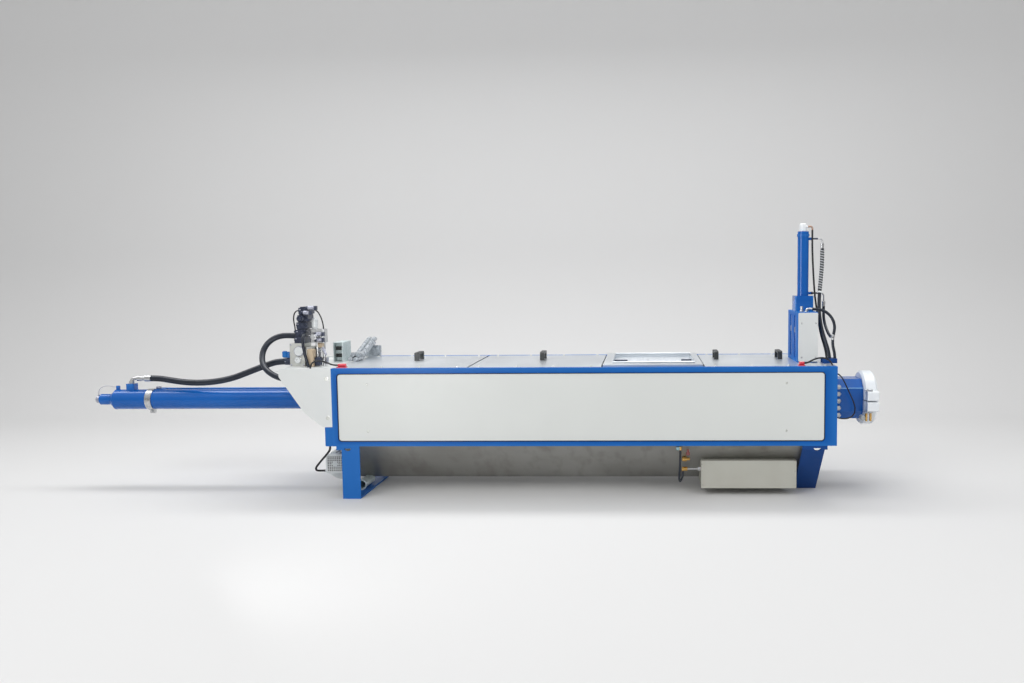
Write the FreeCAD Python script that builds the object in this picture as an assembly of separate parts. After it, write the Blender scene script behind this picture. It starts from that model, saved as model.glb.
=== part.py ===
import FreeCAD, Part
import os
from math import acos, asin, atan2, cos, hypot, pi, sin, sqrt, tan

# Hydraulic ram press separator: a long housing with a feed opening on top, a main ram
# on the left, a strainer trough below and a gated round outlet on the right.
# Millimetres, +Z up, X along the press axis from the ram to the outlet, front face at -Y.
# X is worked out from the left end of the housing and shifted to the middle at the end.

V = FreeCAD.Vector
os.makedirs("parts", exist_ok=True)

# Housing frame
frame_length = 3040
frame_width = 840
frame_bottom = 325
frame_top = 800
frame_depth = 40
top_beam = 31
bottom_beam = 27
left_post = 33
right_post = 70
window_radius = 22
panel_recess = 6
panel_thickness = 4
panel_gap = 6
end_wall = 12
press_axis = 558

# Lids on the top deck
deck_thickness = 8
left_lid_end = 819
lid_joint = 12
lid_return = 22
lid_sheet = 4
handle_length = 150
handle_width = 28
handle_height = 53
handle_bar = 14
handle_setback = 105
right_handle_inset = 100
gate_handle_gap = 74
handle_shoulder = 12
handle_foot = 14

# Feed opening
inlet_left = 1655
inlet_right = 2248
inlet_depth = 560
inlet_flange = 48
inlet_rim_height = 12
inlet_rim_lap = 3
inlet_corner = 10
chute_wall = 6
chute_floor_radius = 130

# Strainer trough
trough_left = 26
trough_end_gap = 188
trough_wall = 4
trough_radius = 150
trough_clearance = 46
trough_side_gap = 2

# Drain stub under the trough
drain_diameter = 60
drain_wall = 3
drain_x = 108
drain_reach = 240
drain_length = 195
drain_collar = 8
drain_collar_rim = 4
drain_rise = 4
drain_end_wall = 20

# Legs: bent strips under the housing, each with a half-round hole below the beam
leg_left = 52
leg_width = 110
leg_thickness = 10
leg_flange_height = 23
leg_flange_lap = 32
leg_hole_width = 44
leg_hole_drop = 14
leg_hole_height = 16
right_leg_setback = 71
right_leg_length = 133
right_leg_foot = 282

# Ram cylinder and its brackets
cross_block_length = 46
cross_block_height = 118
cross_block_corner = 6
bracket_reach = 320
bracket_thickness = 12
bracket_lip = 50
bracket_knee_reach = 170
bracket_knee_rise = 88
bracket_heel = 62
bracket_bend_radius = 70
ram_reach = 1690
ram_diameter = 130
ram_clearance = 2
ram_cap_diameter = 71
ram_cap_length = 72
ram_cap_chamfer = 3
ram_taper = 36
ram_flange_diameter = 210
ram_flange_length = 30
sensor_diameter = 46
sensor_length = 30
sensor_chamfer = 6
sensor_plug_diameter = 12
sensor_plug_setback = 14
sensor_plug_height = 30
sensor_clip_height = 90
sensor_clip_width = 14
sensor_clip_length = 20
band_width = 40
band_thickness = 5
band_setback = 327
band_ear_width = 28
band_ear_depth = 24
band_ear_height = 26
port_width = 54
port_setback = 185
port_rise = 104
port_corner = 6
elbow_bore = 21
elbow_diameter = 34
elbow_height = 138
elbow_reach = 133
elbow_radius = 20
elbow_nut = 18
ferrule_start = 40
ferrule_grip = 22
ferrule_diameter = 28
ferrule_length = 60
socket_diameter = 42
socket_length = 44
socket_chamfer = 4
slim_pipe_diameter = 28
slim_pipe_height = 40
slim_pipe_offset = 46
slim_pipe_setback = 373
slim_pipe_stop = 40
slim_block = 52
slim_block_base = 10

# Valve group on the carrier plate
carrier_thickness = 12
carrier_drop = 10
carrier_lap = 20
manifold_left = 347
manifold_length = 95
manifold_depth = 120
manifold_height = 145
manifold_setback = 250
manifold_corner = 5
side_manifold_gap = 6
side_manifold_step = 10
side_manifold_length = 48
side_manifold_height = 122
gauge_diameter = 62
gauge_length = 16
gauge_height = 96
gauge_rim = 3
valve_diameter = 46
stem_height = 58
stem_diameter = 16
stem_setback = 20
knob_diameter = 28
knob_chamfer = 4
knob_gap = 3
carrier_port = 56
stack_left = -318
stack_length = 66
stack_depth = 100
stack_slices = 5
stack_slice = 40
stack_slice_gap = 6
stack_waist = 8
stack_lean = 8
stack_plug = 12
solenoid_diameter = 38
solenoid_length = 66
solenoid_neck = 14
solenoid_neck_diameter = 24
solenoid_cap_diameter = 28
filter_head_gap = 16
filter_head_length = 92
filter_head_depth = 68
filter_head_rise = 146
filter_head_height = 86
filter_head_corner = 8
low_coil_rise = 40
low_coil_inset = 42
stand_diameter = 20
stand_collar = 10
stand_collar_rise = 30
stand_collar_height = 18
stand_inset = 16
stand_spread = 18
filter_diameter = 42
filter_height = 74
filter_shoulder = 10
filter_dome = 14
filter_tip = 8
terminal_left = 157
terminal_length = 62
terminal_front = 82
terminal_depth = 170
terminal_height = 130
terminal_sheet = 4

# Supply pipes lying across the deck behind the valves
supply_pipe_diameter = 30
supply_left = -18
supply_front = 0
supply_flat = 130
supply_back = 400
supply_rise = 76
supply_shift = 14
supply_bend = 60
supply_tail = 30
saddle_lap = 20
saddle_depth = 18
saddle_inset = 8
supply_nest = 10
supply_gap = 4

# Position sensors on the front top beam
left_sensor_length = 58
right_sensor_length = 40
sensor_body_width = 34
sensor_inset = 50
sensor_foot = 5
sensor_barrel = 20
sensor_barrel_nose = 6
sensor_barrel_setback = 4
left_sensor_x = 48
right_sensor_setback = 202

# Gate unit
gate_setback = 74
gate_length = 124
gate_side_inset = 242
gate_height = 312
gate_cover = 12
gate_head_width = 116
gate_head_corner = 10
gate_head_height = 96
gate_cylinder_diameter = 70
gate_cylinder_length = 405
gate_collar_diameter = 78
gate_collar_height = 16
gate_cap_diameter = 46
gate_cap_height = 50
gate_cap_chamfer = 6
gate_stub_drop = 20
gate_groove = 8
gate_groove_width = 44
gate_groove_inset = 74
gate_border = 26
gate_cover_inset = 5
gate_cover_corner = 8
gate_cover_base = 6
gate_cover_top = 4
gate_low_port = 16
gate_high_port = 46
gate_port_reach = 16
gate_port_diameter = 18
gate_pipe_diameter = 9
gate_pipe_radius = 20
hose_nut_length = 16
hose_nut_rim = 2
hose_grip_length = 34
elbow_run = 34
elbow_pipe_diameter = 16
elbow_pipe_radius = 9
elbow_nut_diameter = 24
elbow_nut_height = 9
plug_gap = 30
plug_height = 34
tee_diameter = 20
junction_gap = 24
junction_overhang = 37
junction_front = 235
junction_depth = 85
junction_height = 28
junction_corner = 5

# Outlet
outlet_flange_size = 330
outlet_flange_thickness = 16
outlet_duct_size = 250
outlet_duct_chamfer = 52
outlet_duct_length = 206
outlet_wall = 10
outlet_bore = 200
coupling_diameter = 340
coupling_length = 92
coupling_overlap = 8
coupling_lip = 12
lug_reach = 44
lug_length = 70
lug_height = 58
lug_gap = 8
lug_root = 20
lug_corner = 9
outlet_flange_corner = 18

# Small geared motor at the left end of the trough
motor_x = -26
motor_diameter = 112
motor_front = 100
fan_cover_length = 52
fan_cover_size = 116
fan_cover_corner = 22
motor_flange_diameter = 196
motor_flange_length = 30
motor_flange_setback = 150
motor_flange_drop = 32
motor_flange_shift = 12
motor_flange_gap = 4
gearbox_size = 118
gearbox_corner = 14
gearbox_gap = 20
gearbox_hub_inset = 8
gearbox_hub_step = 30
gearbox_flange = 10
terminal_box_height = 90
terminal_box_depth = 82
terminal_box_reach = 18
terminal_box_rise = 16
terminal_box_lap = 16
terminal_box_corner = 6
gland_rim = 8

# Insulated box under the trough
box_end_gap = 35
box_length = 577
box_front_inset = 90
box_depth = 270
box_top = 216
box_bottom = 46
box_corner = 5

# Small fittings on the trough side
fitting_gap = 117
fitting_diameter = 31
fitting_length = 49
fitting_step = 20
fitting_chamfer = 6
fitting_stem = 18
fitting_high = 221
fitting_low = 160
low_fitting_diameter = 25
low_fitting_length = 34
pipe_nut_diameter = 24
pipe_nut_length = 20
thin_pipe_diameter = 12
fitting_inset = 120
nipple_diameter = 18
nipple_height = 20
nipple_arm = 14

# Hoses and cables
main_hose_diameter = 40
loop_hose_diameter = 36
gate_hose_diameter = 18
guard_hose_diameter = 22
gate_cable_diameter = 12
sensor_cable_diameter = 10
small_cable_diameter = 8
ram_cable_diameter = 6
motor_cable_diameter = 13
wash_hose_diameter = 13

# Play between curved faces that touch
fit_gap = 0.3

half_width = frame_width / 2
front = -half_width
left_reach = ram_reach + sensor_length
right_reach = (frame_length + outlet_flange_thickness + outlet_duct_length + coupling_length
               - coupling_overlap)
middle = (right_reach - left_reach) / 2
port_position = ram_reach - port_setback
band_position = ram_reach - band_setback
slim_pipe_start = ram_reach - slim_pipe_setback
trough_right = frame_length - trough_end_gap
middle_lid_end = inlet_left + inlet_rim_lap - 2 * lid_joint
gate_right = frame_length - gate_setback
gate_left = gate_right - gate_length
gate_half_depth = half_width - gate_side_inset
box_right = trough_right - box_end_gap
box_left = box_right - box_length
fitting_left = box_left - fitting_gap
nodes = {}


def keep(name, shape):
    moved = shape.copy()
    moved.translate(V(-middle, 0, 0))
    nodes[name] = moved


def block(x0, x1, y0, y1, z0, z1):
    return Part.makeBox(x1 - x0, y1 - y0, z1 - z0, V(x0, y0, z0))


def rod(start, direction, diameter, length):
    return Part.makeCylinder(diameter / 2, length, start, direction)


def turned(points, start, direction):
    # A profile of (distance along the axis, radius) turned about the X axis, then laid on
    # the wanted axis.
    corners = [V(a, r, 0) for a, r in points]
    face = Part.Face(Part.makePolygon(corners + corners[:1]))
    solid = face.revolve(V(0, 0, 0), V(1, 0, 0), 360)
    turn = FreeCAD.Rotation(V(1, 0, 0), direction)
    solid.Placement = FreeCAD.Placement(start, turn)
    return solid


def outline(points, thickness):
    # A closed outline of 3-D points swept by a vector.
    face = Part.Face(Part.makePolygon(points + points[:1]))
    return face.extrude(thickness)


def side_plate(points, y, thickness):
    return outline([V(x, y, z) for x, z in points], V(0, thickness, 0))


def cross_plate(points, x, thickness):
    return outline([V(x, y, z) for y, z in points], V(thickness, 0, 0))


def rounded(shape, radius, direction, wanted=lambda centre: True):
    # Rounds the straight edges that run along a direction and whose middle is wanted.
    edges = []
    for edge in shape.Edges:
        if edge.Curve.TypeId == "Part::GeomLine":
            line = edge.Vertexes[1].Point - edge.Vertexes[0].Point
            if abs(abs(line.normalize() * direction) - 1) < 1e-6 and wanted(edge.CenterOfMass):
                edges.append(edge)
    return shape.makeFillet(radius, edges)


def joined(shapes):
    result = shapes[0]
    for shape in shapes[1:]:
        result = result.fuse(shape)
    return result.removeSplitter()


def mirrored(shape):
    return shape.mirror(V(0, 0, 0), V(0, 1, 0))


def route_wire(points, radius_of):
    # Straight runs joined by tangent arcs.
    corners = [V(*p) for p in points]
    edges = []
    radii = []
    last = corners[0]
    for before, corner, after in zip(corners, corners[1:], corners[2:]):
        back = before - corner
        ahead = after - corner
        short = min(back.Length, ahead.Length)
        back.normalize()
        ahead.normalize()
        turn = pi - acos(max(-1, min(1, back * ahead)))
        radius = radius_of(short, turn)
        reach = radius * tan(turn / 2)
        bisector = back + ahead
        bisector.normalize()
        start = corner + back * reach
        end = corner + ahead * reach
        middle_point = corner + bisector * (radius / cos(turn / 2) - radius)
        edges.append(Part.LineSegment(last, start).toShape())
        edges.append(Part.Arc(start, middle_point, end).toShape())
        radii.append(radius)
        last = end
    edges.append(Part.LineSegment(last, corners[-1]).toShape())
    return Part.Wire(edges), radii


def tube(points, diameter, radius_of):
    wire, radii = route_wire(points, radius_of)
    start = V(*points[0])
    direction = V(*points[1]) - start
    section = Part.Face(Part.Wire(Part.Circle(start, direction, diameter / 2).toShape()))
    return wire.makePipe(section), wire.Length, radii


def cord(name, points, diameter):
    # Each arc is as large as its two runs allow.
    solid, length, radii = tube(points, diameter, lambda short, turn: 0.45 * short / tan(turn / 2))
    section = pi * diameter * diameter / 4
    print(name, "length", round(length), "least radius in diameters", round(min(radii) / diameter, 1),
          "volume ratio", round(solid.Volume / (section * length), 4))
    keep(name, solid)


def pipe(points, diameter, radius):
    return tube(points, diameter, lambda short, turn: radius)[0]


def side_frame():
    # Blue rim with a rounded window; a thin web closes it behind the inlaid panel.
    rim = block(0, frame_length, front, front + frame_depth, frame_bottom, frame_top)
    window = block(left_post, frame_length - right_post, front, front + panel_recess + panel_thickness,
                   frame_bottom + bottom_beam, frame_top - top_beam)
    return rim.cut(rounded(window, window_radius, V(0, 1, 0)))


def side_panel():
    # Flat sheet laid in the window with an even shadow gap.
    panel = block(left_post + panel_gap, frame_length - right_post - panel_gap,
                  front + panel_recess, front + panel_recess + panel_thickness,
                  frame_bottom + bottom_beam + panel_gap, frame_top - top_beam - panel_gap)
    return rounded(panel, window_radius - panel_gap, V(0, 1, 0))


def housing():
    inner = half_width - frame_depth
    frame = side_frame()
    panel = side_panel()
    keep("front_frame", frame)
    keep("rear_frame", mirrored(frame))
    keep("front_side_panel", panel)
    keep("rear_side_panel", mirrored(panel))
    deck_bottom = frame_top - deck_thickness
    left_wall = block(0, end_wall, -inner, inner, frame_bottom, deck_bottom)
    left_wall = left_wall.cut(rod(V(-end_wall, 0, press_axis), V(1, 0, 0), ram_diameter + ram_clearance,
                                  3 * end_wall))
    cross_block = block(-cross_block_length, 0, front, half_width, frame_bottom,
                        frame_bottom + cross_block_height)
    keep("left_end_wall", joined([left_wall, rounded(cross_block, cross_block_corner, V(0, 1, 0))]))
    right_wall = block(frame_length - end_wall, frame_length, -inner, inner, frame_bottom, deck_bottom)
    right_wall = right_wall.cut(rod(V(frame_length - 2 * end_wall, 0, press_axis), V(1, 0, 0),
                                    outlet_bore, 3 * end_wall))
    keep("right_end_wall", right_wall)


def lid(x0, x1, left_inset, right_inset):
    # A folded sheet lid: flat top with two turned-down edges inside the housing.
    inner = half_width - frame_depth
    shapes = [block(x0, x1, -inner, inner, frame_top - deck_thickness, frame_top)]
    for x in (x0 + left_inset, x1 - right_inset - lid_sheet):
        shapes.append(block(x, x + lid_sheet, -inner, inner, frame_top - lid_return,
                            frame_top - deck_thickness))
    return joined(shapes)


def handle(x):
    # A bridge handle across the press: two feet and a bar with rounded shoulders.
    start = handle_setback - handle_length / 2
    end = handle_setback + handle_length / 2
    body = block(x - handle_width / 2, x + handle_width / 2, start, end, frame_top,
                 frame_top + handle_height)
    body = rounded(body, handle_shoulder, V(1, 0, 0))
    grip_gap = handle_bar + handle_shoulder / 2
    gap = block(x - handle_width, x + handle_width, start + grip_gap, end - grip_gap,
                frame_top - 1, frame_top + handle_height - handle_bar)
    foot = block(x - handle_width / 2, x + handle_width / 2, start, end, frame_top, frame_top + handle_foot)
    return joined([body, foot]).cut(gap)


def deck():
    keep("left_lid", lid(0, left_lid_end, end_wall, 0))
    keep("middle_lid", lid(left_lid_end + lid_joint, middle_lid_end, 0, 0))
    keep("right_lid", lid(inlet_right + lid_joint, frame_length, 0, end_wall))
    # One handle in the middle of the left and middle lid, two on the right lid.
    places = (left_lid_end / 2, (left_lid_end + lid_joint + middle_lid_end) / 2,
              inlet_right + lid_joint + right_handle_inset, gate_left - gate_handle_gap)
    keep("lid_handles", Part.makeCompound([handle(x) for x in places]))


def chute_section(offset):
    # Straight walls that lean in to a round-bottomed ram chamber on the press axis.
    half = inlet_depth / 2 + offset
    throat = chute_floor_radius + offset
    top = frame_top - deck_thickness
    x = inlet_left + inlet_flange - offset
    length = inlet_right - inlet_left - 2 * inlet_flange + 2 * offset
    p1, p2, p3, p4 = [V(x, y, z) for y, z in ((-half, top), (-throat, press_axis),
                                                 (throat, press_axis), (half, top))]
    edges = [Part.LineSegment(p1, p2).toShape(),
             Part.Arc(p2, V(x, 0, press_axis - throat), p3).toShape(),
             Part.LineSegment(p3, p4).toShape(), Part.LineSegment(p4, p1).toShape()]
    return Part.Face(Part.Wire(edges)).extrude(V(length, 0, 0))


def feed_inlet():
    # Flanged rim in the deck, and the chute that hangs from it.
    half = inlet_depth / 2
    inner = half_width - frame_depth
    rim = block(inlet_left - lid_joint + inlet_rim_lap, inlet_right, -inner, inner,
                frame_top - deck_thickness, frame_top + inlet_rim_height)
    opening = block(inlet_left + inlet_flange, inlet_right - inlet_flange, -half, half,
                    frame_top - 2 * deck_thickness, frame_top + 2 * inlet_rim_height)
    opening = rounded(opening, inlet_corner, V(0, 0, 1))
    keep("feed_rim", rim.cut(opening))
    keep("feed_chute", chute_section(chute_wall).cut(chute_section(0)))


def trough_profile(offset):
    # Outline of the trough section: straight flanks tangent to a round bottom.
    bottom_radius = trough_radius - offset
    centre = trough_clearance + trough_radius
    top_y = half_width - leg_thickness - trough_side_gap - offset
    top_z = frame_bottom
    distance = hypot(top_y, top_z - centre)
    slope = atan2(top_z - centre, top_y) + asin(bottom_radius / distance)
    touch_y = bottom_radius * sin(slope)
    touch_z = centre - bottom_radius * cos(slope)
    return top_y, top_z, touch_y, touch_z, centre - bottom_radius


def trough_solid(offset, x0, x1):
    top_y, top_z, touch_y, touch_z, low = trough_profile(offset)
    p1, p2, p3, p4 = [V(x0, y, z) for y, z in ((-top_y, top_z), (-touch_y, touch_z),
                                                 (touch_y, touch_z), (top_y, top_z))]
    edges = [Part.LineSegment(p1, p2).toShape(), Part.Arc(p2, V(x0, 0, low), p3).toShape(),
             Part.LineSegment(p3, p4).toShape(), Part.LineSegment(p4, p1).toShape()]
    return Part.Face(Part.Wire(edges)).extrude(V(x1 - x0, 0, 0))


def trough():
    body = trough_solid(0, trough_left, trough_right)
    hollow = trough_solid(trough_wall, trough_left + trough_wall, trough_right - trough_wall)
    keep("strainer_trough", body.cut(hollow))


def drain():
    axis_z = leg_thickness + drain_rise + drain_diameter / 2
    start = V(drain_x, -drain_reach, axis_z)
    outer = rod(start, V(0, 1, 0), drain_diameter, drain_length)
    collar = rod(start, V(0, 1, 0), drain_diameter + 2 * drain_collar_rim, drain_collar)
    bore = rod(start - V(0, drain_wall, 0), V(0, 1, 0), drain_diameter - 2 * drain_wall,
               drain_length + drain_wall - drain_end_wall)
    body = joined([outer, collar]).cut(bore)
    keep("drain_stub", body.cut(trough_solid(0, trough_left, trough_right)))


def strip(points, x, length):
    # A bent strip: an open line of (y, z) points, thickened on its left with mitred bends.
    inner = []
    for index, point in enumerate(points):
        here = V(0, *point)
        turns = []
        for near, far in ((index - 1, index), (index, index + 1)):
            if near >= 0 and far < len(points):
                run = V(0, *points[far]) - V(0, *points[near])
                turns.append(V(0, -run.z, run.y).normalize())
        side = turns[0] + turns[-1]
        inner.append(here + side * (2 * leg_thickness / (side * side)))
    outline_points = [(y, z) for y, z in points] + [(p.y, p.z) for p in reversed(inner)]
    return cross_plate(outline_points, x, length)


def leg_hole(x):
    # A half-round slot with its flat edge upwards.
    z = frame_bottom - leg_hole_drop
    half = leg_hole_width / 2
    radius = (half * half + leg_hole_height * leg_hole_height) / (2 * leg_hole_height)
    start = V(x, -frame_width, z - leg_hole_height + radius)
    round_hole = rod(start, V(0, 1, 0), 2 * radius, 2 * frame_width)
    return round_hole.common(block(x - leg_hole_width, x + leg_hole_width, -frame_width, frame_width,
                                   z - leg_hole_height, z))


def legs():
    # Left: upright sides. Right: sides that lean in to a narrow foot.
    bend = frame_bottom - leg_flange_height
    left = strip([(front, frame_bottom), (front, 0), (half_width, 0), (half_width, frame_bottom)],
                 leg_left, leg_width)
    ear = block(leg_left - leg_flange_lap, leg_left, front, front + leg_thickness, bend, frame_bottom)
    left = joined([left, ear, mirrored(ear)])
    keep("left_leg_frame", left.cut(leg_hole(leg_left + leg_width / 3)))
    x1 = frame_length - right_leg_setback
    x0 = x1 - right_leg_length
    foot = half_width - right_leg_foot
    right = strip([(front, frame_bottom), (front, bend), (-foot, 0), (foot, 0), (half_width, bend),
                   (half_width, frame_bottom)], x0, right_leg_length)
    ear = block(x1, x1 + leg_flange_lap / 2, front, front + leg_thickness, bend, frame_bottom)
    right = joined([right, ear, mirrored(ear)])
    keep("right_leg_frame", right.cut(leg_hole(x1 - right_leg_length / 3)))


def bracket():
    # Cheek plate that carries the ram cylinder: its lower edge rises towards the ram.
    low = frame_bottom + cross_block_height
    points = [(-bracket_reach, frame_top), (0, frame_top), (0, low), (-bracket_heel, low),
              (-bracket_knee_reach, low + bracket_knee_rise), (-bracket_reach, frame_top - bracket_lip)]
    plate = side_plate(points, front, bracket_thickness)
    return rounded(plate, bracket_bend_radius, V(0, 1, 0),
                   lambda centre: abs(centre.x + bracket_heel) < 1 or abs(centre.x + bracket_knee_reach) < 1)


def sensor_tip():
    # Position sensor on the far end of the cylinder, with a plug for its cable on top.
    radius = sensor_diameter / 2
    tip = turned([(0, 0), (0, radius - sensor_chamfer), (sensor_chamfer, radius), (sensor_length, radius),
                  (sensor_length, 0)], V(-left_reach, 0, press_axis), V(1, 0, 0))
    plug = rod(V(-left_reach + sensor_plug_setback, 0, press_axis), V(0, 0, 1), sensor_plug_diameter,
               sensor_plug_height)
    return joined([tip, plug])


def band_clamp():
    # Clamp band round the tube with a bolting ear below.
    radius = ram_diameter / 2
    start = V(-band_position, 0, press_axis)
    tube_space = rod(start, V(1, 0, 0), ram_diameter, band_width)
    band = rod(start, V(1, 0, 0), ram_diameter + 2 * band_thickness, band_width)
    middle_x = -band_position + band_width / 2
    ear = block(middle_x - band_ear_width / 2, middle_x + band_ear_width / 2, -band_ear_depth / 2,
                band_ear_depth / 2, press_axis - radius - band_ear_height, press_axis - radius)
    return joined([band, ear]).cut(tube_space)


def ram_elbow(port_x, port_top):
    # Elbow pipe from the port block to the hose, with nut, ferrule and socket.
    elbow_z = press_axis + elbow_height
    half = elbow_diameter / 2
    knee = pipe([(port_x, 0, port_top), (port_x, 0, elbow_z), (port_x + elbow_reach, 0, elbow_z)],
                elbow_bore, elbow_radius)
    nut = turned([(0, 0), (0, half), (elbow_nut, half), (elbow_nut, 0)], V(port_x, 0, port_top), V(0, 0, 1))
    grip = ferrule_diameter / 2
    ferrule = turned([(0, 0), (0, half), (ferrule_grip, half), (ferrule_grip + half - grip, grip),
                      (ferrule_length, grip), (ferrule_length, 0)],
                     V(port_x + ferrule_start, 0, elbow_z), V(1, 0, 0))
    rim = socket_diameter / 2
    socket = turned([(0, 0), (0, rim - socket_chamfer), (socket_chamfer, rim),
                     (socket_length - socket_chamfer, rim), (socket_length, rim - socket_chamfer),
                     (socket_length, 0)], V(port_x + elbow_reach - socket_length, 0, elbow_z), V(1, 0, 0))
    return joined([knee, nut, ferrule, socket])


def ram():
    cheek = bracket()
    keep("front_ram_bracket", cheek)
    keep("rear_ram_bracket", mirrored(cheek))
    radius = ram_diameter / 2
    cap = ram_cap_diameter / 2
    flange = ram_flange_diameter / 2
    profile = [(0, 0), (0, cap - ram_cap_chamfer), (ram_cap_chamfer, cap), (ram_cap_length, cap),
               (ram_cap_length + ram_taper, radius), (ram_reach - ram_flange_length, radius),
               (ram_reach - ram_flange_length, flange), (ram_reach, flange), (ram_reach, radius),
               (ram_reach + end_wall, radius), (ram_reach + end_wall, 0)]
    cylinder = turned(profile, V(-ram_reach, 0, press_axis), V(1, 0, 0))
    port_x = -port_position + port_width / 2
    port_top = press_axis + port_rise
    port = block(-port_position, -port_position + port_width, -port_width / 2, port_width / 2,
                 press_axis, port_top)
    clip_x = ram_cable[-1][0]
    clip = block(clip_x, clip_x + sensor_clip_length, -sensor_clip_width / 2, sensor_clip_width / 2,
                 press_axis, press_axis + sensor_clip_height)
    keep("ram_cylinder", joined([cylinder, rounded(port, port_corner, V(0, 0, 1)), clip]))
    keep("ram_sensor_tip", sensor_tip())
    keep("ram_fittings", Part.makeCompound([ram_elbow(port_x, port_top), band_clamp()]))
    slim_z = press_axis + slim_pipe_height
    pipe_start = -slim_pipe_start
    pipe_end = -bracket_reach - slim_pipe_stop
    run = rod(V(pipe_start, slim_pipe_offset, slim_z), V(1, 0, 0), slim_pipe_diameter, pipe_end - pipe_start)
    blocks = [block(x, x + slim_block, 0, slim_pipe_offset + slim_pipe_diameter,
                    press_axis + slim_block_base, slim_z + slim_pipe_diameter)
              for x in (pipe_start, pipe_end - slim_block)]
    barrel = rod(V(pipe_start - slim_block, 0, press_axis), V(1, 0, 0), ram_diameter,
                 pipe_end - pipe_start + 2 * slim_block)
    keep("ram_return_pipe", joined([run] + blocks).cut(barrel))


def solenoid(x, y, z):
    # A coil with a stepped armature tube and an end nut, facing the front.
    neck = solenoid_neck_diameter / 2
    cap = solenoid_cap_diameter / 2
    coil = solenoid_diameter / 2
    return turned([(0, 0), (0, neck), (solenoid_neck, neck), (solenoid_neck, coil),
                   (solenoid_length - solenoid_neck, coil), (solenoid_length - solenoid_neck, cap),
                   (solenoid_length, cap), (solenoid_length, 0)],
                  V(x, y - solenoid_length, z), V(0, 1, 0))


def valve_group():
    top = frame_top - carrier_drop
    inner = half_width - bracket_thickness
    carrier = block(-bracket_reach - carrier_lap, 0, -inner, inner, top - carrier_thickness, top)
    port_x, port_y, port_z = loop_hose[-1]
    port = block(port_x, port_x + carrier_port, port_y - carrier_port / 2, port_y + carrier_port / 2,
                 port_z - carrier_port / 2, top - carrier_thickness)
    keep("valve_carrier_plate", joined([carrier, port]))
    y0 = manifold_setback - half_width
    y1 = y0 + manifold_depth
    x0 = -manifold_left
    x1 = x0 + manifold_length
    manifold = rounded(block(x0, x1, y0, y1, top, top + manifold_height), manifold_corner, V(0, 1, 0))
    gauge_x = x0 + manifold_length * 2 / 3
    gauge_radius = gauge_diameter / 2
    gauge = turned([(0, 0), (0, gauge_radius - gauge_rim), (gauge_rim, gauge_radius),
                    (gauge_length, gauge_radius), (gauge_length, 0)],
                   V(gauge_x, y0 - gauge_length, top + gauge_height), V(0, 1, 0))
    side_x = x1 + side_manifold_gap
    side = block(side_x, side_x + side_manifold_length, y0 + side_manifold_step, y1, top,
                 top + side_manifold_height)
    keep("valve_manifold", Part.makeCompound([joined([manifold, gauge]), side]))
    hose_x, hose_y, hose_z = main_hose[-1]
    valve = rod(V(hose_x, hose_y, hose_z), V(1, 0, 0), valve_diameter, x0 - hose_x)
    stem = stem_diameter / 2
    knob = knob_diameter / 2
    knob_base = valve_diameter / 2 + knob_gap
    knob_top = stem_height + knob_chamfer
    handle_stem = turned([(0, 0), (0, stem), (knob_base, stem), (knob_base, knob), (stem_height, knob),
                          (knob_top, knob - knob_chamfer), (knob_top, 0)],
                         V(hose_x + stem_setback, hose_y, hose_z), V(0, 0, 1))
    keep("shut_off_valve", joined([valve, handle_stem]))
    middle_y = (y0 + y1) / 2
    keep("valve_stack", sandwich_stack(top + manifold_height, middle_y))
    pressure_filter(side_x + side_manifold_length - filter_head_gap - side_manifold_step, middle_y, top)
    keep("terminal_cover", sheet_cover(top))
    keep("supply_pipes", supply_bundle())


def sandwich_stack(base, middle_y):
    # Stack of sandwich valves with a waist between neighbours and one coil at the front.
    half = stack_depth / 2
    pitch = stack_slice + stack_slice_gap
    slices = []
    for number in range(stack_slices):
        z = base + number * pitch
        x = stack_left + number * stack_lean
        slices.append(block(x, x + stack_length, middle_y - half, middle_y + half, z, z + stack_slice))
        slices.append(block(x + stack_waist, x + stack_length - stack_waist, middle_y - half + stack_waist,
                            middle_y + half - stack_waist, z + stack_slice, z + pitch))
    coil_slice = stack_slices - 2
    coil = solenoid(stack_left + stack_lean * coil_slice + stack_length / 2, middle_y - half,
                    base + coil_slice * pitch + stack_slice / 2)
    # Angled plug on the second slice for the cable that hangs at the left.
    plug_x, plug_y, plug_z = stack_left_cable[-1]
    plug = block(plug_x - stack_plug / 2, stack_left + stack_lean, plug_y - stack_plug / 2,
                 plug_y + stack_plug / 2, plug_z - stack_plug, plug_z)
    return joined(slices + [coil, plug])


def pressure_filter(head_x0, middle_y, base):
    # A bright head on three stand pipes, with its pale bowl on top.
    head_x1 = head_x0 + filter_head_length
    head_z0 = base + filter_head_rise
    head_z1 = head_z0 + filter_head_height
    half = filter_head_depth / 2
    head = rounded(block(head_x0, head_x1, middle_y - half, middle_y + half, head_z0, head_z1),
                   filter_head_corner, V(0, 0, 1))
    far_inset = 2 * stand_inset + stand_diameter
    spots = ((far_inset, -stand_spread), (far_inset, stand_spread), (stand_inset, 0))
    stands = [rod(V(head_x1 - inset, middle_y + across, base), V(0, 0, 1), stand_diameter, filter_head_rise)
              for inset, across in spots]
    collars = [rod(V(head_x1 - inset, middle_y + across, base + stand_collar_rise), V(0, 0, 1),
                   stand_diameter + stand_collar, stand_collar_height) for inset, across in spots]
    low_coil = solenoid(head_x0 + low_coil_inset, middle_y - half, head_z0 + low_coil_rise)
    keep("filter_head", joined([head, low_coil] + stands + collars))
    bowl_radius = filter_diameter / 2
    bowl = turned([(0, 0), (0, bowl_radius - filter_shoulder / 2), (filter_shoulder, bowl_radius),
                   (filter_height - filter_dome, bowl_radius),
                   (filter_height - filter_dome / 3, bowl_radius - filter_tip), (filter_height, 0)],
                  V(head_x0 + bowl_radius, middle_y, head_z1), V(0, 0, 1))
    keep("filter_bowl", bowl)


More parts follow.
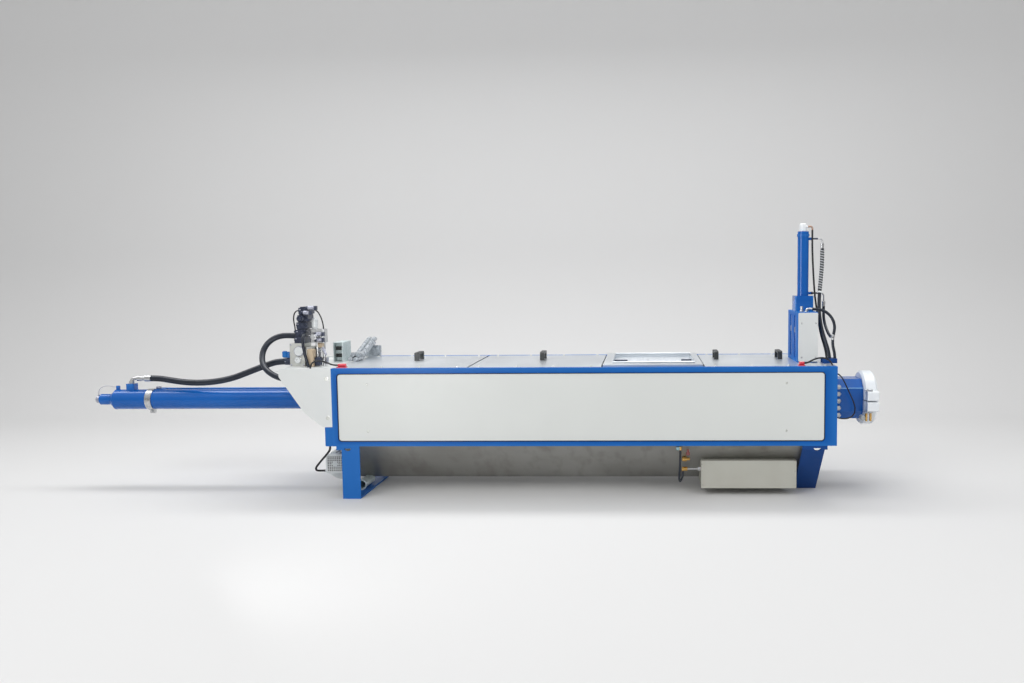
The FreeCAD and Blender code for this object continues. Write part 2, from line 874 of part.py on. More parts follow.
def sheet_cover(base):
    # Folded sheet cover, open at its front end.
    x0 = -terminal_left
    x1 = x0 + terminal_length
    y1 = terminal_front + terminal_depth
    cover = block(x0, x1, terminal_front, y1, base, base + terminal_height)
    inside = block(x0 + terminal_sheet, x1 - terminal_sheet, terminal_front - terminal_sheet,
                   y1 - terminal_sheet, base + terminal_sheet, base + terminal_height - terminal_sheet)
    return cover.cut(inside)


def supply_bundle():
    # Four grey supply pipes that rise to the rear edge of the deck, on a saddle.
    strands = []
    supply_pitch = sqrt((supply_pipe_diameter + fit_gap) ** 2 - supply_nest ** 2)
    for row in range(2):
        for column in range(2):
            x = supply_left + column * (supply_pipe_diameter + supply_gap) + row * supply_nest
            z = frame_top + supply_pipe_diameter / 2 + row * supply_pitch
            start_y = supply_front + row * supply_shift
            bend_y = supply_back - supply_tail
            strands.append(pipe([(x, start_y, z), (x, supply_front + supply_flat, z),
                                 (x, bend_y, z + supply_rise), (x, supply_back, z + supply_rise)],
                                supply_pipe_diameter, supply_bend))
    saddle_end = supply_back - saddle_inset
    saddle = block(supply_left - saddle_lap, supply_left + 3 * supply_pipe_diameter,
                   saddle_end - saddle_depth, saddle_end, frame_top, frame_top + supply_rise)
    return Part.makeCompound([saddle] + strands)


def position_sensor(x, length):
    # A proximity sensor in a small clip on the front top beam.
    y = front + sensor_inset
    foot = block(x - length / 2, x + length / 2, y, y + sensor_body_width, frame_top,
                 frame_top + sensor_foot)
    radius = sensor_barrel / 2
    barrel_length = length - 2 * sensor_barrel_setback
    body = turned([(0, 0), (0, radius - sensor_barrel_setback), (sensor_barrel_nose, radius),
                   (barrel_length, radius), (barrel_length, 0)],
                  V(x - length / 2 + sensor_barrel_setback, y + sensor_body_width / 2,
                    frame_top + sensor_foot + radius - sensor_barrel_setback / 4), V(1, 0, 0))
    return joined([foot, body])


def hose_nipple(end):
    # Nut and grip sleeve above the start of a hanging hose.
    neck = gate_hose_diameter / 2 - 1
    rim = gate_hose_diameter / 2 + hose_nut_rim
    grip = rim - hose_nut_rim / 2
    return turned([(0, 0), (0, neck), (hose_nut_rim, rim), (hose_nut_length, rim), (hose_nut_length, neck),
                   (hose_nut_length + 2 * hose_nut_rim, grip), (hose_grip_length, grip),
                   (hose_grip_length, 0)],
                  V(end[0], end[1], end[2] + hose_grip_length), V(0, 0, -1))


def hose_tee():
    # Three stubs that meet in a point: side hose from above, lower hose from behind, return hose below.
    centre = V(return_hose[0][0], return_hose[0][1], lower_hose[-1][2])
    stubs = []
    for end in (side_hose[-1], lower_hose[-1], return_hose[0]):
        reach = V(*end) - centre
        stubs.append(rod(centre, reach, tee_diameter, reach.Length))
    return joined(stubs)


def gate():
    x0 = gate_left
    x1 = gate_right
    half = gate_half_depth
    z0 = frame_top
    z1 = frame_top + gate_height
    body = block(x0, x1, -half, half, z0, z1)
    for y in (-gate_groove_inset, gate_groove_inset):
        body = body.cut(block(x0 - gate_groove, x0 + gate_groove, y - gate_groove_width / 2,
                              y + gate_groove_width / 2, z0 + gate_border, z1 - gate_border))
    keep("gate_housing", body)
    cover = block(x0 + gate_cover_inset, x1, -half - gate_cover, -half, z0 + gate_cover_base,
                  z1 - gate_cover_top)
    keep("gate_front_cover", rounded(cover, gate_cover_corner, V(0, 1, 0)))
    axis = (x0 + x1) / 2
    half_head = gate_head_width / 2
    head = block(axis - half_head, axis + half_head, -half_head, half_head, z1, z1 + gate_head_height)
    head = rounded(head, gate_head_corner, V(0, 0, 1))
    head_top = z1 + gate_head_height
    barrel_top = head_top + gate_cylinder_length
    radius = gate_cylinder_diameter / 2
    collar = gate_collar_diameter / 2
    barrel = turned([(0, 0), (0, radius), (gate_cylinder_length - 2 * gate_collar_height, radius),
                     (gate_cylinder_length - 2 * gate_collar_height, collar),
                     (gate_cylinder_length - gate_collar_height, collar),
                     (gate_cylinder_length - gate_collar_height, radius),
                     (gate_cylinder_length, radius), (gate_cylinder_length, 0)],
                    V(axis, 0, head_top), V(0, 0, 1))
    port_levels = (head_top + gate_low_port, barrel_top - gate_high_port)
    ports = [rod(V(axis, 0, z), V(1, 0, 0), gate_port_diameter, radius + gate_port_reach)
             for z in port_levels]
    keep("gate_cylinder", joined([head, barrel] + ports))
    cap_radius = gate_cap_diameter / 2
    cap = turned([(0, 0), (0, cap_radius), (gate_cap_height - gate_cap_chamfer, cap_radius),
                  (gate_cap_height, cap_radius - gate_cap_chamfer), (gate_cap_height, 0)],
                 V(axis, 0, barrel_top), V(0, 0, 1))
    stub_z = barrel_top + gate_cap_height - gate_stub_drop
    cable_x, cable_y, cable_z = cap_cable[0]
    stub = pipe([(axis, cable_y, stub_z), (cable_x, cable_y, stub_z), (cable_x, cable_y, cable_z)],
                gate_cable_diameter, gate_cable_diameter)
    keep("gate_cylinder_cap", joined([cap, stub]))
    fittings = []
    for z, end in zip(port_levels, (lower_hose[0], upper_hose[0])):
        start_x = axis + radius + gate_port_reach
        bent_pipe = pipe([(start_x, 0, z), (end[0], 0, z), end], gate_pipe_diameter, gate_pipe_radius)
        fittings.append(joined([bent_pipe, hose_nipple(end)]))
    hose_x, hose_y, hose_z = side_hose[0]
    knee_x = hose_x - elbow_run
    elbow = pipe([(knee_x, hose_y, z1), (knee_x, hose_y, hose_z), side_hose[0]], elbow_pipe_diameter,
                 elbow_pipe_radius)
    nut = rod(V(knee_x, hose_y, z1), V(0, 0, 1), elbow_nut_diameter, elbow_nut_height)
    fittings.append(joined([elbow, nut]))
    plug_x = knee_x - plug_gap
    plug = rod(V(plug_x, hose_y, z1), V(0, 0, 1), elbow_pipe_diameter, plug_height)
    plug_nut = rod(V(plug_x, hose_y, z1), V(0, 0, 1), elbow_nut_diameter, elbow_nut_height)
    fittings.append(joined([plug, plug_nut]))
    keep("gate_port_fittings", Part.makeCompound(fittings + [hose_tee()]))
    junction = block(x1 + junction_gap, frame_length + junction_overhang, -junction_front,
                     -junction_front + junction_depth, frame_top, frame_top + junction_height)
    keep("hose_junction", rounded(junction, junction_corner, V(0, 0, 1)))


def octagon(x, size, chamfer, length):
    h = size / 2
    c = h - chamfer
    points = [(-c, -h), (c, -h), (h, -c), (h, c), (c, h), (-c, h), (-h, c), (-h, -c)]
    return cross_plate([(y, press_axis + z) for y, z in points], x, length)


def outlet():
    x0 = frame_length
    x1 = x0 + outlet_flange_thickness
    x2 = x1 + outlet_duct_length
    size = outlet_flange_size / 2
    flange = block(x0, x1, -size, size, press_axis - size, press_axis + size)
    flange = rounded(flange, outlet_flange_corner, V(1, 0, 0))
    duct = octagon(x1, outlet_duct_size, outlet_duct_chamfer, outlet_duct_length)
    spigot_end = x2 - coupling_overlap + coupling_length
    spigot = rod(V(x2, 0, press_axis), V(1, 0, 0), outlet_bore + 2 * outlet_wall, spigot_end - x2)
    bore = rod(V(x0 - end_wall, 0, press_axis), V(1, 0, 0), outlet_bore, spigot_end - x0 + 2 * end_wall)
    keep("outlet_duct", joined([flange, duct, spigot]).cut(bore))
    # Two-part pipe coupling: half rings with bolting lugs front and rear.
    outer = coupling_diameter / 2
    inner = outlet_bore / 2 + outlet_wall
    start = x2
    length = spigot_end - x2
    ring = turned([(0, inner), (0, outer - coupling_lip), (coupling_lip, outer),
                   (length - coupling_lip, outer), (length, outer - coupling_lip), (length, inner)],
                  V(start, 0, press_axis), V(1, 0, 0))
    upper = ring.cut(block(start - length, start + 2 * length, -coupling_diameter, coupling_diameter,
                           press_axis - coupling_diameter, press_axis + lug_gap / 2))
    lug_x = start + (length - lug_length) / 2
    for side in (-1, 1):
        y0, y1 = sorted((side * (outer + lug_reach), side * (outer - lug_root)))
        lug = block(lug_x, lug_x + lug_length, y0, y1, press_axis + lug_gap / 2,
                    press_axis + lug_gap / 2 + lug_height)
        lug = rounded(lug, lug_corner, V(1, 0, 0))
        upper = upper.fuse(lug)
    upper = upper.removeSplitter()
    keep("coupling_upper_half", upper)
    keep("coupling_lower_half", upper.mirror(V(0, 0, press_axis), V(0, 0, 1)))


def drive():
    # Worm gear box on the end of the trough with a small motor lying across the machine.
    centre_z = trough_clearance + trough_radius
    half_box = gearbox_size / 2
    box_start = trough_left - gearbox_size
    case = block(box_start, trough_left - gearbox_gap, -half_box, half_box, centre_z - half_box,
                 centre_z + half_box)
    case = rounded(case, gearbox_corner, V(0, 1, 0))
    hub = rod(V(box_start + gearbox_hub_inset, 0, centre_z), V(1, 0, 0), gearbox_size - gearbox_hub_step,
              gearbox_size - gearbox_hub_inset)
    flange = rod(V(trough_left - gearbox_flange, 0, centre_z), V(1, 0, 0), gearbox_size + gearbox_flange,
                 gearbox_flange)
    keep("auger_gearbox", joined([case, hub, flange]))
    start = front + motor_front
    half_cover = fan_cover_size / 2
    cover = block(motor_x - half_cover, motor_x + half_cover, start, start + fan_cover_length,
                  centre_z - half_cover, centre_z + half_cover)
    cover = rounded(cover, fan_cover_corner, V(0, 1, 0))
    radius = motor_diameter / 2
    body = rod(V(motor_x, start + fan_cover_length, centre_z), V(0, 1, 0), motor_diameter,
               -half_box - start - fan_cover_length)
    # Round gear stage behind the motor: its centre lies lower, and it is flattened beside the trough.
    stage = rod(V(motor_x - motor_flange_shift, start + motor_flange_setback, centre_z - motor_flange_drop),
                V(0, 1, 0), motor_flange_diameter, motor_flange_length)
    stage = stage.cut(block(trough_left - motor_flange_gap, trough_left + motor_flange_diameter, front, 0,
                            0, frame_bottom))
    # The terminal box sits on the left flank behind the fan cover, with its gland low down.
    gland_x, gland_y, gland_z = motor_cable[-1]
    box_left_face = motor_x - radius - terminal_box_reach
    box_y = gland_y - terminal_box_lap
    box_z = centre_z + terminal_box_rise
    terminal = block(box_left_face, motor_x - radius / 2, box_y, box_y + terminal_box_depth,
                     box_z - terminal_box_height, box_z)
    terminal = rounded(terminal, terminal_box_corner, V(1, 0, 0))
    gland = rod(V(gland_x, gland_y, gland_z), V(1, 0, 0), motor_cable_diameter + gland_rim,
                box_left_face - gland_x)
    keep("auger_motor", joined([cover, body, stage, terminal, gland]))


def insulated_box():
    box_front = front + box_front_inset
    body = block(box_left, box_right, box_front, box_front + box_depth, box_bottom, box_top)
    body = rounded(body, box_corner, V(0, 0, 1))
    keep("insulated_box", body.cut(trough_solid(0, trough_left, trough_right)))


def fittings():
    # Two brass bodies on the trough flank, the lower one with a thin pipe to the insulated box.
    y = front + fitting_inset
    outer = trough_solid(0, trough_left, trough_right)
    half = fitting_diameter / 2
    stem = fitting_stem / 2
    high_end = fitting_length - fitting_step
    high = turned([(0, 0), (0, half - fitting_chamfer), (fitting_chamfer, half), (high_end, half),
                   (high_end, stem), (fitting_length, stem), (fitting_length, 0)],
                  V(fitting_left, y, fitting_high), V(1, 0, 0))
    high_stem = rod(V(fitting_left + half, y, fitting_high), V(0, 1, 0), fitting_stem, fitting_inset)
    high = joined([high, high_stem]).cut(outer)
    low_half = low_fitting_diameter / 2
    thin = thin_pipe_diameter / 2
    nut_start = fitting_gap - pipe_nut_length
    nut_half = pipe_nut_diameter / 2
    low = turned([(0, 0), (0, low_half), (low_fitting_length, low_half), (low_fitting_length, thin),
                  (nut_start, thin), (nut_start, nut_half), (fitting_gap, nut_half), (fitting_gap, 0)],
                 V(fitting_left, y, fitting_low), V(1, 0, 0))
    hose_end = V(*wash_hose[-1])
    low = low.fuse(rod(hose_end, V(0, 0, 1), nipple_diameter, fitting_low - hose_end.z))
    hose_top = V(*wash_hose[0])
    nipple = rod(hose_top, V(0, 0, 1), nipple_diameter, nipple_height)
    arm = rod(hose_top + V(0, 0, nipple_height / 2), V(0, 1, 0), nipple_arm, fitting_inset)
    keep("wash_fittings", Part.makeCompound([high, low.removeSplitter(), joined([nipple, arm]).cut(outer)]))


def from_end(points):
    # Route points whose X is counted from the right end of the housing.
    return [(frame_length + x, y, z) for x, y, z in points]


def from_ram(points):
    # Route points whose X is counted from the far end of the ram cylinder.
    return [(x - ram_reach, y, z) for x, y, z in points]


# Routes of the hoses and cables, from the fitting each leaves to the one it reaches
main_hose = [(-1345, 0, 696), (-1292, 0, 696), (-1218, -6, 685), (-1130, -20, 674), (-1035, -37, 670),
             (-938, -56, 675), (-842, -76, 688), (-750, -93, 709), (-672, -105, 737), (-605, -113, 762),
             (-545, -118, 784), (-491, -120, 803), (-442, -120, 815), (-395, -120, 816)]
loop_hose = [(-318, -110, 978), (-362, -110, 981), (-415, -114, 981), (-464, -122, 966), (-501, -139, 935),
             (-519, -164, 893), (-514, -200, 848), (-492, -238, 808), (-454, -275, 775), (-404, -304, 750),
             (-350, -322, 732), (-294, -330, 724), (-240, -327, 725), (-194, -320, 728), (-150, -320, 728)]
valve_hose = [(-240, -160, 1000), (-240, -190, 1000), (-239, -218, 984), (-236, -236, 955),
              (-231, -243, 916), (-222, -244, 872), (-211, -242, 830), (-202, -240, 790)]
stack_left_cable = [(-286, -120, 1142), (-303, -120, 1142), (-321, -120, 1134), (-331, -120, 1116),
                    (-335, -120, 1090), (-333, -120, 1063), (-327, -120, 1036), (-327, -120, 1012)]
stack_right_cable = [(-220, -110, 1146), (-204, -110, 1146), (-186, -110, 1137), (-172, -110, 1119),
                     (-161, -110, 1095), (-153, -110, 1070), (-148, -110, 1045), (-147, -110, 1022)]
ram_cable = from_ram([(-16, 0, 588), (-16, 0, 604), (-10, 0, 622), (4, 0, 637), (24, 0, 646),
                      (46, 0, 649), (68, 0, 647), (89, 0, 642), (108, 0, 640)])
motor_cable = [(-28, -390, 325), (-28, -390, 304), (-42, -382, 282), (-66, -368, 257), (-93, -352, 231),
               (-118, -337, 205), (-142, -321, 180), (-157, -301, 158), (-156, -276, 143), (-137, -256, 138),
               (-110, -252, 138)]
lower_hose = from_end([(-4, 0, 1140), (-4, 0, 1112), (-6, -11, 1075), (-5, -36, 1038), (-1, -72, 1004),
                       (4, -108, 977), (10, -139, 960), (13, -163, 956), (13, -187, 956)])
upper_hose = from_end([(-16, 0, 1506), (-16, 0, 1466), (-17, -3, 1415), (-22, -7, 1345), (-29, -13, 1278),
                       (-37, -28, 1212), (-44, -60, 1150), (-49, -98, 1090), (-47, -135, 1030),
                       (-38, -168, 972), (-24, -192, 918), (-11, -206, 868), (-7, -210, 828)])
cap_cable = from_end([(-82, -16, 1620), (-82, -16, 1580), (-82, -18, 1520), (-80, -20, 1450),
                      (-76, -22, 1370), (-71, -25, 1288), (-66, -30, 1213), (-60, -44, 1150),
                      (-54, -70, 1090), (-52, -100, 1030), (-46, -130, 972), (-34, -155, 918),
                      (-22, -170, 868), (-18, -174, 828)])
side_hose = from_end([(-101, -130, 1128), (-70, -130, 1128), (-38, -131, 1122), (-10, -135, 1107),
                      (13, -143, 1083), (27, -156, 1055), (31, -172, 1025), (26, -190, 995),
                      (18, -199, 970)])
return_hose = from_end([(13, -205, 942), (13, -205, 916), (18, -206, 887), (25, -207, 858), (27, -207, 828)])
duct_cable = from_end([(0, -250, 744), (26, -250, 743), (56, -243, 725), (81, -225, 689),
                       (114, -200, 627), (144, -182, 569), (163, -173, 521), (160, -174, 483),
                       (138, -184, 459), (102, -202, 451), (56, -226, 457), (30, -240, 470),
                       (0, -240, 470)])
wash_hose = from_end([(-930, -398, 296), (-930, -398, 262), (-931, -396, 222), (-933, -390, 181),
                      (-935, -378, 143), (-936, -360, 110), (-932, -338, 90), (-923, -318, 90),
                      (-914, -303, 109), (-910, -300, 130), (-910, -300, 148)])
left_sensor_cable = [(23, -353, 814), (-5, -353, 814), (-44, -348, 829), (-87, -336, 840), (-128, -324, 838),
                     (-158, -315, 820), (-166, -311, 790)]
right_sensor_cable = from_end([(-186, -353, 814), (-168, -353, 815), (-144, -353, 829), (-114, -353, 842),
                               (-82, -354, 847), (-52, -355, 841), (-28, -356, 824), (-18, -357, 800)])

housing()
deck()
feed_inlet()
trough()
drain()
legs()
ram()
valve_group()
keep("position_sensors", Part.makeCompound([
    position_sensor(left_sensor_x, left_sensor_length),
    position_sensor(frame_length - right_sensor_setback, right_sensor_length)]))
gate()
outlet()
drive()
insulated_box()
fittings()

cord("main_hose", main_hose, main_hose_diameter)
cord("loop_hose", loop_hose, loop_hose_diameter)
cord("valve_hose", valve_hose, gate_hose_diameter)
cord("stack_left_cable", stack_left_cable, small_cable_diameter)
cord("stack_right_cable", stack_right_cable, small_cable_diameter)
cord("ram_sensor_cable", ram_cable, ram_cable_diameter)
cord("motor_cable", motor_cable, motor_cable_diameter)
cord("gate_lower_hose", lower_hose, gate_hose_diameter)
cord("gate_upper_hose", upper_hose, guard_hose_diameter)
cord("gate_side_hose", side_hose, gate_hose_diameter)
cord("gate_return_hose", return_hose, gate_hose_diameter)
cord("gate_sensor_cable", cap_cable, gate_cable_diameter)
cord("duct_cable", duct_cable, small_cable_diameter)
cord("wash_hose", wash_hose, wash_hose_diameter)
cord("left_sensor_cable", left_sensor_cable, sensor_cable_diameter)
cord("right_sensor_cable", right_sensor_cable, sensor_cable_diameter)

for name, shape in nodes.items():
    shape.exportStep("parts/" + name + ".step")
print(len(nodes), "pieces")
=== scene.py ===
import math

import bpy
import numpy as np
from mathutils import Matrix, Vector


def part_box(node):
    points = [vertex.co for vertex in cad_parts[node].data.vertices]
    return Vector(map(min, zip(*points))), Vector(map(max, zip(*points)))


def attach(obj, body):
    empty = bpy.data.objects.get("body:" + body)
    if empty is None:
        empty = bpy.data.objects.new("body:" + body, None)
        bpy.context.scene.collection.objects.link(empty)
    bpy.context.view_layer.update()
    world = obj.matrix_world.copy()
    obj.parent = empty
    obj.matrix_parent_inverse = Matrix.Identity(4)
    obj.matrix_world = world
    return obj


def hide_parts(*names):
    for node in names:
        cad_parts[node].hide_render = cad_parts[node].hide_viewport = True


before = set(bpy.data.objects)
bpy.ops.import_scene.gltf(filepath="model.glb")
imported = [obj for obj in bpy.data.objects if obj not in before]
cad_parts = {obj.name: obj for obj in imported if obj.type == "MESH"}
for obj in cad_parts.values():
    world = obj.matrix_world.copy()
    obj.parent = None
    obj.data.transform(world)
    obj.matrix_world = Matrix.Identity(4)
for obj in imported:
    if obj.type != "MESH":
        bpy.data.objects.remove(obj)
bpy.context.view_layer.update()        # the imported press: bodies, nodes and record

# Hydraulic ram press separator. Metres, +X along the press from the ram to the outlet,
# the front panel looks to -Y, the floor is Z = 0.


def corners(node):
    # lowest and highest corner of a node as arrays
    low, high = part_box(node)
    return np.array(low), np.array(high)


def tone(red, green, blue):
    # a colour as seen on screen, 0 to 255, turned into the linear colour of a shader
    value = np.array([red, green, blue]) / 255
    linear = np.where(value <= 0.04045, value / 12.92, ((value + 0.055) / 1.055) ** 2.4)
    return (*[float(part) for part in linear], 1.0)


# Material building blocks

def startMaterial(name):
    material = bpy.data.materials.new(name)
    material.use_nodes = True
    tree = material.node_tree
    shader = tree.nodes["Principled BSDF"]
    place = tree.nodes.new("ShaderNodeTexCoord").outputs["Object"]
    return material, tree, shader, place


def noise(tree, place, size, detail=3.0, stretch=(1, 1, 1)):
    # soft noise whose blotches are about `size` metres wide, drawn out along an axis by stretch
    mapping = tree.nodes.new("ShaderNodeMapping")
    mapping.inputs["Scale"].default_value = [1 / (size * part) for part in stretch]
    tree.links.new(place, mapping.inputs["Vector"])
    texture = tree.nodes.new("ShaderNodeTexNoise")
    texture.inputs["Scale"].default_value = 1.0
    texture.inputs["Detail"].default_value = detail
    tree.links.new(mapping.outputs["Vector"], texture.inputs["Vector"])
    return texture.outputs["Fac"]


def spread(tree, value, low, high, fromLow=0.3, fromHigh=0.7):
    node = tree.nodes.new("ShaderNodeMapRange")
    for socket, number in zip(("From Min", "From Max", "To Min", "To Max"), (fromLow, fromHigh, low, high)):
        node.inputs[socket].default_value = number
    tree.links.new(value, node.inputs["Value"])
    return node.outputs["Result"]


def blendColours(tree, factor, first, second):
    node = tree.nodes.new("ShaderNodeMix")
    node.data_type = "RGBA"
    tree.links.new(factor, node.inputs[0])
    for socket, colour in ((node.inputs[6], first), (node.inputs[7], second)):
        if isinstance(colour, tuple):
            socket.default_value = colour
        else:
            tree.links.new(colour, socket)
    return node.outputs[2]


def addBump(tree, shader, height, depth):
    node = tree.nodes.new("ShaderNodeBump")
    node.inputs["Distance"].default_value = depth
    node.inputs["Strength"].default_value = 1.0
    tree.links.new(height, node.inputs["Height"])
    tree.links.new(node.outputs["Normal"], shader.inputs["Normal"])


usualPaint = {
    "edgeHighlightAndWear": 0.4,         # how far the edges turn lighter: painted highlight, with slight wear
    "gloss": 0.4,
    "coat": 0.0,
    "coatRoughness": 0.3,
    "peelSize": 0.003,       # size of the orange peel, metres
}
usualPlain = {
    "dustAmount": 0.6,
    "metal": 0.0,
    "gloss": 0.5,
    "coat": 0.0,
    "grain": 0.001,          # size of the grain, metres
    "grainDepth": 0.00003,
}


def painted(name, look):
    # sprayed or powder-coated metal: faint cloudiness, orange-peel bump, edges a shade lighter as a painted
    # highlight with slight wear
    look = {**usualPaint, **look}
    material, tree, shader, place = startMaterial(name)
    cloud = noise(tree, place, look["cloud"], 2.0)
    colour = blendColours(tree, spread(tree, cloud, 0, 1), look["colour"], look["shade"])
    edge = tree.nodes.new("ShaderNodeNewGeometry").outputs["Pointiness"]
    # edges lighter where the surface is pointed: painted highlight, with slight wear
    highlightAndWornEdges = spread(tree, edge, 0.0, look["edgeHighlightAndWear"], 0.52, 0.60)
    colour = blendColours(tree, highlightAndWornEdges, colour, look["edge"])
    tree.links.new(colour, shader.inputs["Base Color"])
    uneven = spread(tree, noise(tree, place, 0.06, 4.0), *look["roughness"])
    tree.links.new(uneven, shader.inputs["Roughness"])
    shader.inputs["Specular IOR Level"].default_value = look["gloss"]
    shader.inputs["Coat Weight"].default_value = look["coat"]
    shader.inputs["Coat Roughness"].default_value = look["coatRoughness"]
    addBump(tree, shader, noise(tree, place, look["peelSize"], 2.0), look["peelDepth"])
    return material


def brushed(name, look):
    # drawn or rolled steel: fine lines along `stretch`, cloudy stains, uneven roughness
    material, tree, shader, place = startMaterial(name)
    lines = noise(tree, place, look["lineWidth"], 5.0, look["stretch"])
    cloud = noise(tree, place, look["cloud"], 4.0)
    stain = noise(tree, place, look["cloud"] * 0.35, 6.0, look["stainStretch"])
    colour = blendColours(tree, spread(tree, lines, 0, 1), look["colour"], look["lineColour"])
    colour = blendColours(tree, spread(tree, cloud, 0, look["cloudAmount"]), colour, look["cloudColour"])
    stained = spread(tree, stain, 0, look["stainAmount"], 0.5, 0.75)
    colour = blendColours(tree, stained, colour, look["stainColour"])
    tree.links.new(colour, shader.inputs["Base Color"])
    shader.inputs["Metallic"].default_value = look["metal"]
    tree.links.new(spread(tree, cloud, *look["roughness"]), shader.inputs["Roughness"])
    addBump(tree, shader, lines, look["lineDepth"])
    return material


def galvanised(name, look):
    # zinc coat: flat crystals of slightly different tones, each with its own gloss
    material, tree, shader, place = startMaterial(name)
    cells = tree.nodes.new("ShaderNodeTexVoronoi")
    cells.inputs["Scale"].default_value = 1 / look["crystal"]
    tree.links.new(place, cells.inputs["Vector"])
    split = tree.nodes.new("ShaderNodeSeparateColor")
    tree.links.new(cells.outputs["Color"], split.inputs["Color"])
    colour = blendColours(tree, split.outputs["Red"], look["colour"], look["shade"])
    cloud = noise(tree, place, look["crystal"] * 9, 4.0)
    colour = blendColours(tree, spread(tree, cloud, 0, 0.35), colour, look["stain"])
    tree.links.new(colour, shader.inputs["Base Color"])
    shader.inputs["Metallic"].default_value = look["metal"]
    uneven = spread(tree, split.outputs["Green"], *look["roughness"], 0, 1)
    tree.links.new(uneven, shader.inputs["Roughness"])
    addBump(tree, shader, cloud, look["depth"])
    return material


def plain(name, look):
    # moulded plastic, rubber and small machined metal: fine grain, slight dust or tarnish
    look = {**usualPlain, **look}
    material, tree, shader, place = startMaterial(name)
    dust = noise(tree, place, look["dustSize"], 5.0)
    colour = blendColours(tree, spread(tree, dust, 0, look["dustAmount"]), look["colour"], look["dust"])
    tree.links.new(colour, shader.inputs["Base Color"])
    shader.inputs["Metallic"].default_value = look["metal"]
    tree.links.new(spread(tree, dust, *look["roughness"]), shader.inputs["Roughness"])
    shader.inputs["Coat Weight"].default_value = look["coat"]
    shader.inputs["Specular IOR Level"].default_value = look["gloss"]
    addBump(tree, shader, noise(tree, place, look["grain"], 3.0), look["grainDepth"])
    return material


bluePaint = painted("bluePaint", {
    "colour": tone(5, 78, 158), "shade": tone(8, 84, 166), "edge": tone(48, 122, 198), "edgeHighlightAndWear": 0.5,
    "cloud": 0.35, "roughness": (0.34, 0.46), "gloss": 0.14, "coatRoughness": 0.2, "peelDepth": 0.00006})
blueGloss = painted("blueGloss", {
    "colour": tone(6, 88, 170), "shade": tone(10, 94, 178), "edge": tone(60, 140, 214), "cloud": 0.3,
    "roughness": (0.2, 0.26), "gloss": 0.34, "coat": 0.12, "coatRoughness": 0.1, "peelSize": 0.03,
    "peelDepth": 0.00002})
gateBlue = painted("gateBlue", {
    "colour": tone(14, 92, 176), "shade": tone(18, 98, 184), "edge": tone(52, 128, 204),
    "edgeHighlightAndWear": 0.5, "cloud": 0.35, "roughness": (0.34, 0.46), "gloss": 0.03, "coatRoughness": 0.2,
    "peelDepth": 0.00003})
# pale blue that paints the highlight along the duct's upper bends
bluePaintedHighlight = painted("bluePaintedHighlight", {
    "colour": tone(120, 175, 225), "shade": tone(90, 155, 215), "edge": tone(150, 195, 235),
    "cloud": 0.1, "roughness": (0.2, 0.3), "gloss": 0.5, "coat": 0.2, "coatRoughness": 0.1,
    "peelSize": 0.01, "peelDepth": 0.00002})
# a darker copy of the blue paint: painted shade on the right leg and the hose junction
bluePaintedShade = painted("bluePaintedShade", {
    "colour": tone(6, 48, 112), "shade": tone(6, 40, 96), "edge": tone(40, 90, 160), "cloud": 0.25,
    "roughness": (0.42, 0.55), "gloss": 0.15, "peelDepth": 0.00006})
panelCoat = painted("panelCoat", {
    "colour": tone(216, 219, 216), "shade": tone(211, 214, 211), "edge": tone(222, 224, 222),
    "edgeHighlightAndWear": 0.3, "cloud": 0.6, "roughness": (0.46, 0.58), "peelSize": 0.0022, "peelDepth": 0.00012})
palePaint = painted("palePaint", {
    "colour": tone(212, 215, 213), "shade": tone(205, 209, 208), "edge": tone(234, 236, 236),
    "edgeHighlightAndWear": 0.35, "cloud": 0.2, "roughness": (0.38, 0.5), "coat": 0.1, "coatRoughness": 0.25,
    "peelSize": 0.0025, "peelDepth": 0.0001})
motorPaint = painted("motorPaint", {
    "colour": tone(214, 219, 220), "shade": tone(198, 204, 206), "edge": tone(234, 236, 236),
    "cloud": 0.07, "roughness": (0.42, 0.58), "peelSize": 0.004, "peelDepth": 0.00025})
boxCladding = painted("boxCladding", {
    "colour": tone(178, 178, 168), "shade": tone(167, 166, 155), "edge": tone(200, 200, 192),
    "cloud": 0.16, "roughness": (0.5, 0.66), "gloss": 0.3, "peelSize": 0.02, "peelDepth": 0.0004})
whiteCoat = painted("whiteCoat", {
    "colour": tone(240, 244, 246), "shade": tone(222, 229, 234), "edge": tone(246, 248, 250),
    "edgeHighlightAndWear": 0.5, "cloud": 0.05, "roughness": (0.3, 0.48), "gloss": 0.5, "coat": 0.2,
    "coatRoughness": 0.2, "peelDepth": 0.00015})
lidSteel = brushed("lidSteel", {
    "colour": (0.74, 0.78, 0.82, 1), "lineColour": (0.62, 0.66, 0.70, 1),
    "cloudColour": (0.84, 0.87, 0.90, 1), "stainColour": (0.52, 0.56, 0.60, 1), "lineWidth": 0.0015,
    "stretch": (120, 1, 1), "cloud": 0.5, "stainStretch": (3, 1, 1), "cloudAmount": 0.6,
    "stainAmount": 0.25, "metal": 0.9, "roughness": (0.28, 0.42), "lineDepth": 0.00004})
troughSteel = brushed("troughSteel", {
    "colour": (0.34, 0.335, 0.31, 1), "lineColour": (0.27, 0.265, 0.25, 1),
    "cloudColour": (0.46, 0.46, 0.44, 1), "stainColour": (0.20, 0.18, 0.16, 1), "lineWidth": 0.002,
    "stretch": (90, 1, 1), "cloud": 0.45, "stainStretch": (0.5, 1, 2.5), "cloudAmount": 0.8,
    "stainAmount": 0.5, "metal": 0.75, "roughness": (0.34, 0.52), "lineDepth": 0.00006})
chuteSteel = brushed("chuteSteel", {
    "colour": (0.66, 0.70, 0.74, 1), "lineColour": (0.56, 0.60, 0.64, 1),
    "cloudColour": (0.76, 0.80, 0.84, 1), "stainColour": (0.44, 0.47, 0.50, 1), "lineWidth": 0.002,
    "stretch": (60, 1, 1), "cloud": 0.12, "stainStretch": (0.5, 1, 2.5), "cloudAmount": 0.8,
    "stainAmount": 0.4, "metal": 0.35, "roughness": (0.34, 0.5), "lineDepth": 0.00005})
